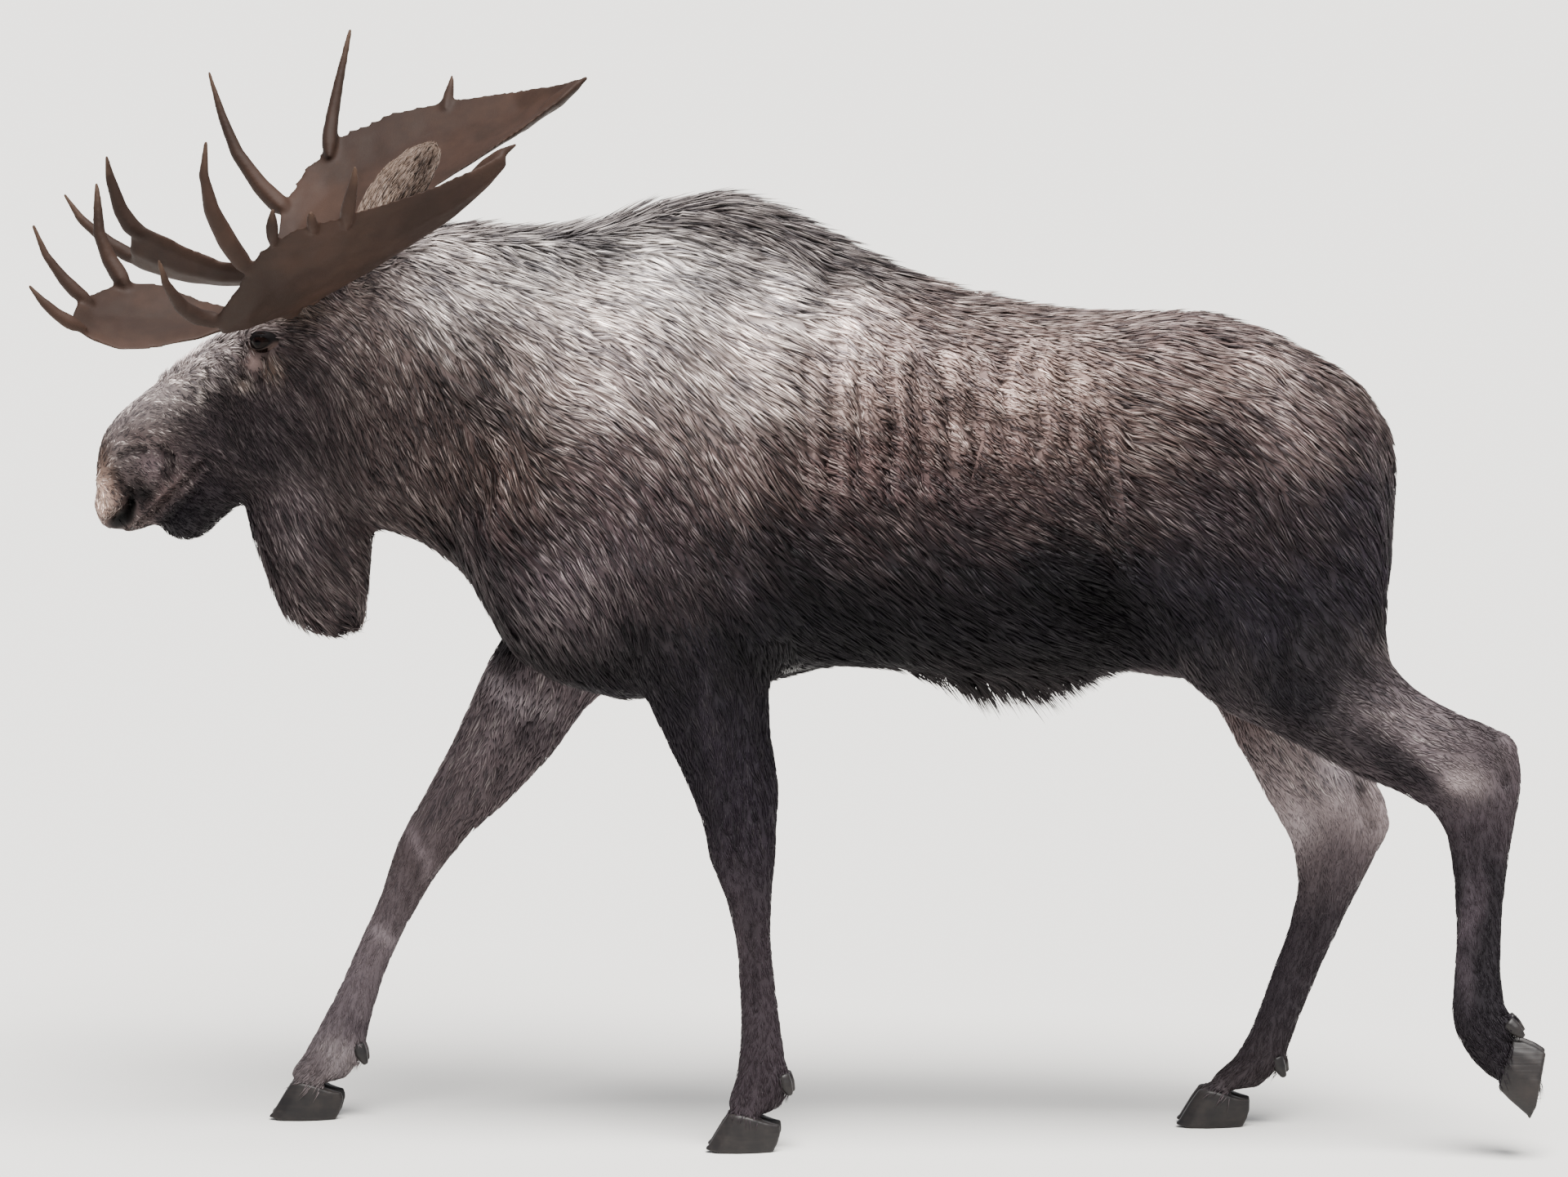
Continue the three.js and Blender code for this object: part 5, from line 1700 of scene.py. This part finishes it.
    def _tint(self, tone: Array, shade: Array) -> None:
        """Turns the palest tufts towards cream, the painted colour of glints off wet hair, and the
        darkest towards blue.
        """
        grey = tone.mean(1, keepdims=True)
        bright = 0.5 * smoothstep(0.95, 1.60, shade)[:, None]
        dark = 0.4 * smoothstep(0.95, 0.55, shade)[:, None]
        tone += bright * (grey * self.glint_cream - tone) + dark * (grey * self.slate - tone)

    def _streaks(self, root: Array, way: Array, length: Array, draw: Array) -> Array:
        """A random value for each tuft that runs on from tuft to tuft along the flow.

        Args:
            root: the roots.
            way: the way each tuft points.
            length: each tuft's length.
            draw: one random number for each tuft.

        Returns:
            Values about 0 with a spread of 1.
        """
        tree = point_tree(root)
        total = draw.copy()
        for step in self.streak_steps:
            total += draw[[tree.find(place)[1] for place in root + way * (step * length)[:, None]]]
        return (total - total.mean()) / total.std()

    def _clumps(self, root: Array) -> Array:
        """For each root, the root that its clump gathers round."""
        chosen = np.flatnonzero(self.rng.random(len(root)) < self.clump_share)
        tree = point_tree(root[chosen], chosen)
        return np.array([tree.find(tuple(place))[1] for place in root])

    def _ways(self, tufts: dict[str, Array], draw: Array) -> Array:
        """The way each tuft points: along the flow, swaying a little, and out where it hangs free."""
        normal = tufts["normal"]
        flow = along_surface(tufts["flow"], normal)
        way = unit(swung(flow, np.cross(normal, flow), (draw - 0.5) * self.sway))
        hang = self.droop * tufts["free"] * np.maximum(-normal[:, 2] - 0.15, 0.0)
        return unit(way + normal * hang[:, None])

    def _lay(
        self, tufts: dict[str, Array], clump: Array, way: Array, length: Array, high: Array
    ) -> None:
        """Sets the stations of every tuft's line, and the way up from the skin at each.

        Args:
            tufts: what the skin says at the roots.
            clump: for each tuft, the one that its clump gathers round.
            way: the way each tuft points.
            length: each tuft's length.
            high: how high each tuft's tip stands off the skin.
        """
        root = tufts["root"]
        spine, facing = [], []
        for place, pull, height in zip(self.stations, self.gather, self.rise):
            point = root + way * (length * place)[:, None]
            step = root[clump] + way[clump] * (length[clump] * place)[:, None] - point
            near = np.linalg.norm(step, axis=1) < self.clump_reach
            point = point + step * np.where(near, pull, 0.0)[:, None]
            up = tufts["normal"]
            if place > 0:
                straight = point
                point, up = self._snap(straight)
                above = np.maximum(((straight - point) * up).sum(1), 0.0)
                point = point + up * (above * tufts["free"])[:, None]
            spine.append(point + up * (high * height)[:, None])
            facing.append(up)
        self.spine = np.stack(spine, axis=1)
        self.facing = np.stack(facing, axis=1)

    def build(self) -> None:
        """Works out every tuft's line over the skin, its colour and its shade."""
        tufts = self._roots()
        root = tufts["root"]
        draw = self.rng.random((len(root), 6))
        clump = self._clumps(root)
        way = self._ways(tufts, draw[:, 0])
        high = tufts["lift"] * (0.35 + 0.65 * draw[:, 3] + 0.75 * draw[clump, 2])
        self._lay(tufts, clump, way, tufts["length"] * (0.7 + 0.55 * draw[:, 1]), high)
        self._clear(self.least_rise * high)
        tone = self._tone_under(self.spine[:, 1])
        streak = self._streaks(root, way, tufts["length"], draw[:, 4])
        # The tufts' shade: random light and dark streaks of the hair's own, whose brightest tufts also
        # stand for glints on wet hair, a painted highlight.
        spread = 0.80 * streak + 1.2 * (draw[:, 4] - 0.5) + 0.25 * ripple(root, 0.06, 21)
        shade = np.exp(tufts["contrast"] * spread)
        self._tint(tone, shade)
        stays = self._over_horn()
        self.spine[:, :, 2] = np.maximum(self.spine[:, :, 2], self.floor_gap)
        tufts.update({"tone": tone, "shade": shade, "roll": (draw[:, 5] - 0.5) * self.roll})
        self.tufts = {name: values[stays] for name, values in tufts.items()}
        self.spine = self.spine[stays]
        self.facing = self.facing[stays]

    def _solid(self, chosen: Array) -> tuple[Array, Array]:
        """Three-sided blades round the chosen tufts' lines.

        Args:
            chosen: which tufts.

        Returns:
            The vertices, a root ring, a middle ring and a tip for each tuft, and the triangles.
        """
        spine, facing = self.spine[chosen], self.facing[chosen]
        width, roll = self.tufts["width"][chosen], self.tufts["roll"][chosen]
        sides = self.sides
        rings = []
        for ring, share in enumerate(self.ring_widths):
            along = unit(spine[:, ring + 1] - spine[:, ring])
            across = unit(np.cross(facing[:, ring], along))
            up = np.cross(along, across)
            edge = swung(across, up, roll)
            ridge = swung(up, -across, roll)
            half = (width * share * 0.5)[:, None]
            middle = spine[:, ring]
            rings += [middle - edge * half, middle + edge * half, middle + ridge * half * self.ridge]
        points = np.stack([*rings, spine[:, 2]], axis=1)
        shape = [(0, 1, 2)]
        for k in range(sides):
            n = (k + 1) % sides
            shape += [(k, k + sides, n), (n, k + sides, n + sides), (k + sides, 2 * sides, n + sides)]
        step = np.arange(len(chosen))[:, None, None] * (2 * sides + 1)
        triangles = (np.array(shape)[None] + step).reshape(-1, 3)
        return points.reshape(-1, 3), triangles

    def _unwrap(self, roots: Array, nodes: Array) -> Array:
        """Places of the roots on the skin's own unwrap, 0 to 1.

        The body and head are rolled off a tube along their length; legs, ears and bell lie beside
        them, each rolled off a tube of its own.
        """
        flat = np.zeros((len(roots), 2))
        owner = np.array([self._strip(name) for name in NODES])[nodes]
        strips = sorted(set(owner))
        for place, strip in enumerate(strips):
            here = owner == strip
            points = roots[here]
            upright = strip == "bell" or "leg" in strip
            length, level_axis = (points[:, 2], 0) if upright else (points[:, 0], 2)
            low, high = length.min(), length.max()
            spread = (length - low) / max(high - low, 1e-6)
            levels = np.clip((spread * self.unwrap_levels).astype(int), 0, self.unwrap_levels - 1)
            gap = np.zeros((len(points), 3))
            for level in np.unique(levels):
                ring = points[levels == level]
                gap[levels == level] = ring - (ring.max(0) + ring.min(0)) / 2
            angle = np.arctan2(gap[:, 1], gap[:, level_axis])
            around = (angle / (2 * math.pi) + 0.5) % 1.0
            flat[here, 0] = (place + 0.02 + 0.96 * around) / len(strips)
            flat[here, 1] = spread
        return 0.01 + 0.98 * flat

    def _strip(self, node: str) -> str:
        """Which strip of the unwrap a node is on."""
        return "_".join(node.split("_")[:3]) if "leg" in node else node

    def _dress_piece(
        self, name: str, chosen: Array, material: bpy.types.Material
    ) -> None:
        """Makes one piece of coat from the chosen tufts."""
        points, triangles = self._solid(chosen)
        mesh = triangle_mesh(name, points, triangles)
        size = 2 * self.sides + 1
        along = np.tile([0.0] * self.sides + [0.45] * self.sides + [1.0], len(chosen))
        set_attribute(mesh, "along", along)
        for key in ("tone", "shade"):
            set_attribute(mesh, key, np.repeat(self.tufts[key][chosen], size, axis=0))
        flat = self._unwrap(self.tufts["root"][chosen], self.tufts["node"][chosen])
        corner = (flat[:, None, :] + np.array(TUFT_PATCH)[None] * self.patch).reshape(-1, 2)
        layer = mesh.uv_layers.new(name="OFBake")
        layer.data.foreach_set("uv", corner[triangles.ravel()].astype(np.float32).ravel())
        mesh.shade_smooth()
        finish_piece(new_object(name, mesh), material)

    def dress(self) -> None:
        """Sorts the tufts into pieces and puts them in the scene."""
        material = HairFinish().material()
        node = self.tufts["node"]
        for cluster in Cluster:
            mine = np.flatnonzero(np.array([cluster.holds(name) for name in NODES])[node])
            mine = mine[np.argsort(self.tufts["root"][mine, 0], kind="stable")]
            pieces = max(1, math.ceil(len(mine) / self.most_tufts))
            for index, chosen in enumerate(np.array_split(mine, pieces)):
                name = f"coat_{cluster.name.lower()}_{index + 1}"
                self._dress_piece(name, chosen, material)
        LOG.info("coat: %d tufts", len(node))


# ---------------- eyes


# The right eye's middle on the straight head, and the way it looks.
EYE_AT = (-1.086, 0.0935, 1.697)
EYE_LOOK = (-0.22, 0.97, -0.02)

# Rings of the lid from the eye outward: scale, height over the ball and over the skin, the share
# of the skin's height, and how far out the ring counts for its colour.
LID_ROWS = (
    (0.94, -0.0025, 0.0, 0.0, 0.0),
    (1.0, 0.0010, 0.0, 0.0, 0.1),
    (1.14, 0.0034, 0.0, 0.0, 0.3),
    (1.40, 0.0026, 0.0020, 0.55, 0.55),
    (1.75, 0.0, 0.0002, 1.0, 0.8),
    (2.05, 0.0, -0.0045, 1.0, 1.0),
)


@dataclass
class Eyes:
    """Both eyeballs with their lids."""

    skin: Skin
    radius: float = 0.0245
    opening: tuple[float, float] = (0.0222, 0.0134)
    pinch: float = 0.18
    lower: float = 0.92
    iris_shares: tuple[float, float] = (0.62, 0.50)
    bulge: float = 0.05
    bulge_reach: float = 0.55
    # Painted shadow above the eye, under the upper lid; the pale rim below is the lid's own colour.
    lid_shadow: Colour = (12, 9, 10)
    lid_pale: Colour = (66, 54, 51)
    segments: int = 40

    @staticmethod
    def centre(side: int) -> Array:
        """The middle of an eyeball; side is -1 on the left."""
        x, y, z = EYE_AT
        return head_to_frame(np.array([x, side * y, z]))

    @staticmethod
    def gaze(side: int) -> Array:
        """The way an eye looks."""
        x, y, z = EYE_LOOK
        return unit(turn(np.array([x, side * y, z]), HEAD_TURN))

    def _axes(self, side: int) -> tuple[Array, Array, Array]:
        """Level, upright and outward directions of an eye."""
        gaze = self.gaze(side)
        level = unit(np.cross(np.array([0.0, 0.0, 1.0]), gaze) * -side)
        tilt = unit(level + np.array([0.0, 0.0, 0.10]))
        return tilt, unit(np.cross(gaze, tilt) * (1 if side < 0 else -1)), gaze

    def _ball(self, side: int) -> Mesh:
        """One eyeball."""
        bm = bmesh.new()
        bmesh.ops.create_uvsphere(bm, u_segments=self.segments, v_segments=28, radius=self.radius)
        mesh = made_mesh(bm, "eyeball")
        level, upright, gaze = self._axes(side)
        local = read_points(mesh)
        if np.dot(np.cross(level, upright), gaze) < 0:
            local[:, 0] *= -1
            mesh.flip_normals()
        front = local[:, 2] > 0
        wide, tall = (self.radius * share for share in self.iris_shares)
        opening = np.where(front, np.hypot(local[:, 0] / wide, local[:, 1] / tall), 2.0)
        reach = np.hypot(local[:, 0], local[:, 1]) / (self.bulge_reach * self.radius)
        local[:, 2] *= np.where(front, 1 + self.bulge * np.exp(-(reach**2)), 1.0)
        axes = np.stack([level, upright, gaze])
        write_points(mesh, local @ axes + self.centre(side))
        set_attribute(mesh, "opening", opening)
        mesh.shade_smooth()
        return mesh

    def _lids(self, side: int) -> Mesh:
        """The ring of lid round one eye, sunk into the skin at its outer edge."""
        level, upright, gaze = self._axes(side)
        centre = self.centre(side)
        angles = np.arange(self.segments) / self.segments * 2 * math.pi
        wide, tall = self.opening
        pinch = 1 - self.pinch * np.cos(angles) ** 4
        lower = np.where(np.sin(angles) < 0, self.lower, 1.0)
        almond = (
            np.cos(angles)[:, None] * wide * level
            + (np.sin(angles) * tall * pinch * lower)[:, None] * upright
        )
        rows = []
        for scale, over_ball, over_skin, share, _ in LID_ROWS:
            offset = almond * scale
            distance = np.minimum(np.linalg.norm(offset, axis=1), self.radius * 0.98)
            on_ball = np.sqrt(self.radius**2 - distance**2) + over_ball
            if share > 0:
                on_skin = np.array([self._skin_height(centre + o, gaze) for o in offset]) + over_skin
            else:
                on_skin = on_ball
            height = on_ball * (1 - share) + on_skin * share
            rows.append(centre + offset + height[:, None] * gaze)
        mesh = ring_of(rows)
        set_attribute(mesh, "outward", np.repeat([row[-1] for row in LID_ROWS], self.segments))
        set_attribute(mesh, "tone", self._lid_tone(read_points(mesh), centre, upright))
        mesh.shade_smooth()
        return mesh

    def _lid_tone(self, places: Array, centre: Array, upright: Array) -> Array:
        """Painted shadow of the upper lid above the eye, and a paler rim below it."""
        below = smoothstep(0.002, -0.010, (places - centre) @ upright)
        return blended(np.array(linear(*self.lid_shadow)), below, linear(*self.lid_pale))

    def _skin_height(self, start: Array, gaze: Array) -> float:
        """How far along the gaze the skin lies."""
        far = start + gaze * 0.08
        hit = self.skin.tree.ray_cast(Vector(far), Vector(-gaze), 0.12)[0]
        if hit is None:
            return 0.010
        return float(np.dot(np.array(hit) - start, gaze))

    def dress(self) -> None:
        """Puts the eyes in the scene."""
        wet = EyeFinish().material()
        bare = LidFinish().material()
        for side, name in ((-1, "left"), (1, "right")):
            ball = new_object(f"eyeball_{name}", self._ball(side))
            finish_piece(ball, wet, [f"eye_{name}"])
            finish_piece(new_object(f"eyelids_{name}", self._lids(side)), bare)


def ring_of(rows: Sequence[Array]) -> Mesh:
    """A closed ring through rows of points, each row running once round it."""
    bm = bmesh.new()
    count = len(rows[0])
    made = bmesh.ops.create_circle(bm, cap_ends=False, radius=1.0, segments=count)
    ring = list(made["verts"])
    loops = [ring]
    edges = list({edge for vertex in ring for edge in vertex.link_edges})
    for _ in rows[1:]:
        extruded = bmesh.ops.extrude_edge_only(bm, edges=edges)["geom"]
        new = [g for g in extruded if isinstance(g, bmesh.types.BMVert)]
        edges = [g for g in extruded if isinstance(g, bmesh.types.BMEdge)]
        loops.append(new)
    bm.verts.index_update()
    order = {vertex: i for i, vertex in enumerate(ring)}
    for before, after in zip(loops[:-1], loops[1:]):
        for vertex in after:
            linked = [e.other_vert(vertex) for e in vertex.link_edges]
            order[vertex] = next(order[v] for v in linked if v in before)
    for row, loop in zip(rows, loops):
        for vertex in loop:
            vertex.co = row[order[vertex]]
    first = [e for e in bm.edges if e.verts[0] in loops[0] and e.verts[1] in loops[0]]
    last = [e for e in bm.edges if e.verts[0] in loops[-1] and e.verts[1] in loops[-1]]
    bmesh.ops.bridge_loops(bm, edges=first + last)
    bmesh.ops.recalc_face_normals(bm, faces=bm.faces)
    return made_mesh(bm, "ring")


# ---------------- antlers and hooves


@dataclass
class Antler:
    """One antler: beam, palm and brow tines in one piece of bone."""

    side: str
    voxel: float = 0.0038
    rounds: int = 44
    restore_rounds: int = 34
    kept: float = 0.70
    root: Triple = (-0.985, 0.112, 1.812)
    burr_reach: float = 0.075
    knob_height: float = 0.0022
    furrow_height: float = 0.0004
    tip_reach: float = 0.055
    tip_step: int = 10

    def build(self) -> Mesh:
        """Wraps the three CAD pieces in one surface and smooths it."""
        self.nodes = [f"antler_{self.side}_{part}" for part in ("beam", "palm", "brow")]
        voxel = self.voxel * 1
        mesh = wrapped(merged_copy(self.nodes)[0], voxel, self.rounds, self.restore_rounds)
        mesh = thinned(mesh, self.kept, np.ones(len(mesh.vertices)))
        places = read_points(mesh)
        normals = read_normals(mesh)
        x, y, z = self.root
        root = head_to_frame(np.array([x, y * (-1 if self.side == "left" else 1), z]))
        burr = np.exp(-((np.linalg.norm(places - root, axis=1) / self.burr_reach) ** 2))
        knobs = ripple(places, 0.016, 31) * self.knob_height * burr
        furrow = ripple(places * np.array([1.0, 1.0, 0.5]), 0.070, 32) * self.furrow_height
        write_points(mesh, places + normals * (knobs + furrow)[:, None])
        self.burr = burr
        self.tip = self._tips(mesh, places)
        return mesh

    def _tips(self, mesh: Mesh, places: Array) -> Array:
        """1 at the ends of the tines, 0 on palm and beam: thin places have few points near them."""
        some = places[:: self.tip_step]
        tree = point_tree(some)
        counts = np.array([len(tree.find_range(place, self.tip_reach)) for place in some], float)
        crowd = counts[[tree.find(place)[1] for place in places]]
        crowd = diffuse(crowd, read_edges(mesh), 60)
        full = np.percentile(crowd, 85)
        return 1 - smoothstep(0.12 * full, 0.55 * full, crowd)

    def dress(self, material: bpy.types.Material) -> None:
        """Puts the antler in the scene."""
        mesh = self.build()
        set_attribute(mesh, "burr", self.burr)
        set_attribute(mesh, "tip", self.tip)
        mesh.shade_smooth()
        finish_piece(new_object(f"antler_bone_{self.side}", mesh), material, self.nodes)


@dataclass
class Hooves:
    """The claws and dewclaws of all four feet."""

    voxel: float = 0.0032
    rounds: int = 26
    restore_rounds: int = 16
    heel_drop: float = 0.27
    raised_share: float = 0.3
    toe_lift: float = 0.006
    swell: float = 0.05
    claw_height: float = 0.08
    dewclaw_scale: float = 0.88
    dewclaw_rise: float = 0.004
    meshes: dict[str, Mesh] = field(default_factory=dict)

    @staticmethod
    def axes(leg: str) -> tuple[Array, Array]:
        """The way back from toe to heel and the way up from the sole."""
        pitch = math.radians(HOOF_PITCH.get(leg, 0.0))
        back = np.array([math.cos(pitch), 0.0, -math.sin(pitch)])
        up = np.array([math.sin(pitch), 0.0, math.cos(pitch)])
        return back, up

    def _claw(self, leg: str, places: Array) -> Array:
        """Lowers the heel and curls the toe of one claw."""
        back, up = self.axes(leg)
        along = places @ back
        along = (along - along.min()) / np.ptp(along)
        height = places @ up
        height -= height.min()
        share = self.raised_share if leg in HOOF_PITCH else 1.0
        drop = self.heel_drop * share * smoothstep(0.42, 1.0, along)
        lift = self.toe_lift * (1 - smoothstep(0.0, 0.22, along)) * (1 - smoothstep(0.0, 0.02, height))
        belly = np.sin(math.pi * np.clip(height / self.claw_height, 0, 1))
        swell = self.swell * belly * smoothstep(0.3, 0.8, along)
        middle = places[:, 1].mean()
        moved = places + up * (lift - height * drop)[:, None]
        moved[:, 1] = middle + (places[:, 1] - middle) * (1 + swell)
        return moved

    def _dewclaw(self, leg: str, places: Array) -> Array:
        """Shrinks a dewclaw and sinks its wide end into the leg."""
        form = tree_of(merged_copy([f"{leg}_cannon", f"{leg}_pastern"])[0])
        middle = places.mean(0)
        place, normal, _, _ = form.find_nearest(tuple(middle))
        away = np.array(place) + np.array(normal) * self.dewclaw_rise
        return away + (places - middle) * self.dewclaw_scale

    def build(self) -> None:
        """Shapes every piece of horn."""
        for leg in LEGS:
            for part in ("hoof_outer", "hoof_inner", "dewclaw_outer", "dewclaw_inner"):
                node = f"{leg}_{part}"
                whole = merged_copy([node])[0]
                mesh = wrapped(whole, self.voxel, self.rounds, self.restore_rounds)
                places = read_points(mesh)
                places = self._claw(leg, places) if "hoof" in part else self._dewclaw(leg, places)
                places[:, 2] = np.maximum(places[:, 2], 0.0)
                write_points(mesh, places)
                self.meshes[node] = mesh

    def dress(self) -> None:
        """Puts the horn in the scene."""
        material = HoofFinish().material()
        for node, mesh in self.meshes.items():
            mesh.shade_smooth()
            finish_piece(new_object(f"horn_{node}", mesh), material, [node])


# ---------------- studio


@dataclass
class Studio:
    """Floor, lights and camera."""

    floor_size: float = 90.0
    camera_at: Triple = (1.0195, -19.8037, 3.6094)
    target: Triple = (-0.01945, 0.0200, 1.172)
    lens: float = 217.5
    sun_strength: float = 12.4
    sun_spread: float = 38.0
    sun_way: Triple = (-0.15, 0.42, -1.0)
    sun_colour: Colour = (1.0, 0.985, 0.96)
    sky_colour: Colour = (0.93, 0.95, 1.0)
    sky_strength: float = 0.72

    def _floor(self) -> None:
        """A wide floor that fills the view."""
        bm = bmesh.new()
        bmesh.ops.create_grid(bm, x_segments=2, y_segments=2, size=self.floor_size)
        mesh = made_mesh(bm, "studio_floor")
        floor = new_object("studio_floor", mesh)
        mesh.materials.append(FloorFinish().material())

    def _sun(self) -> None:
        """A broad soft sun."""
        light = bpy.data.lights.new("key", "SUN")
        light.energy = self.sun_strength
        light.angle = math.radians(self.sun_spread)
        light.color = self.sun_colour
        lamp = new_object("key", light)
        lamp.rotation_euler = Vector(self.sun_way).to_track_quat("-Z", "Y").to_euler()

    def _camera(self) -> None:
        """The camera, looking at the body's middle."""
        data = bpy.data.cameras.new("camera")
        data.lens = self.lens
        data.sensor_width = 36.0
        data.clip_end = 400.0
        camera = new_object("camera", data)
        camera.location = self.camera_at
        way = Vector(self.target) - Vector(self.camera_at)
        camera.rotation_euler = way.to_track_quat("-Z", "Y").to_euler()
        bpy.context.scene.camera = camera

    def build(self) -> None:
        """Sets the studio up."""
        self._camera()
        self._floor()
        self._sun()
        world = bpy.data.worlds.new("studio")
        world.use_nodes = True
        background = world.node_tree.nodes["Background"]
        background.inputs["Color"].default_value = (*self.sky_colour, 1.0)
        background.inputs["Strength"].default_value = self.sky_strength
        bpy.context.scene.world = world


# ---------------- the whole


def main() -> None:
    """Builds every piece in order."""
    logging.basicConfig(level=logging.INFO, format="%(relativeCreated)7.0f %(message)s")
    Studio().build()
    hooves = Hooves()
    hooves.build()
    hooves.dress()
    skin = Skin(list(hooves.meshes.values()))
    skin.build()
    skin.dress()
    coat = Coat(skin)
    coat.build()
    coat.dress()
    Eyes(skin).dress()
    bone = AntlerFinish().material()
    for side in ("left", "right"):
        Antler(side).dress(bone)


if __name__ == "__main__":
    main()
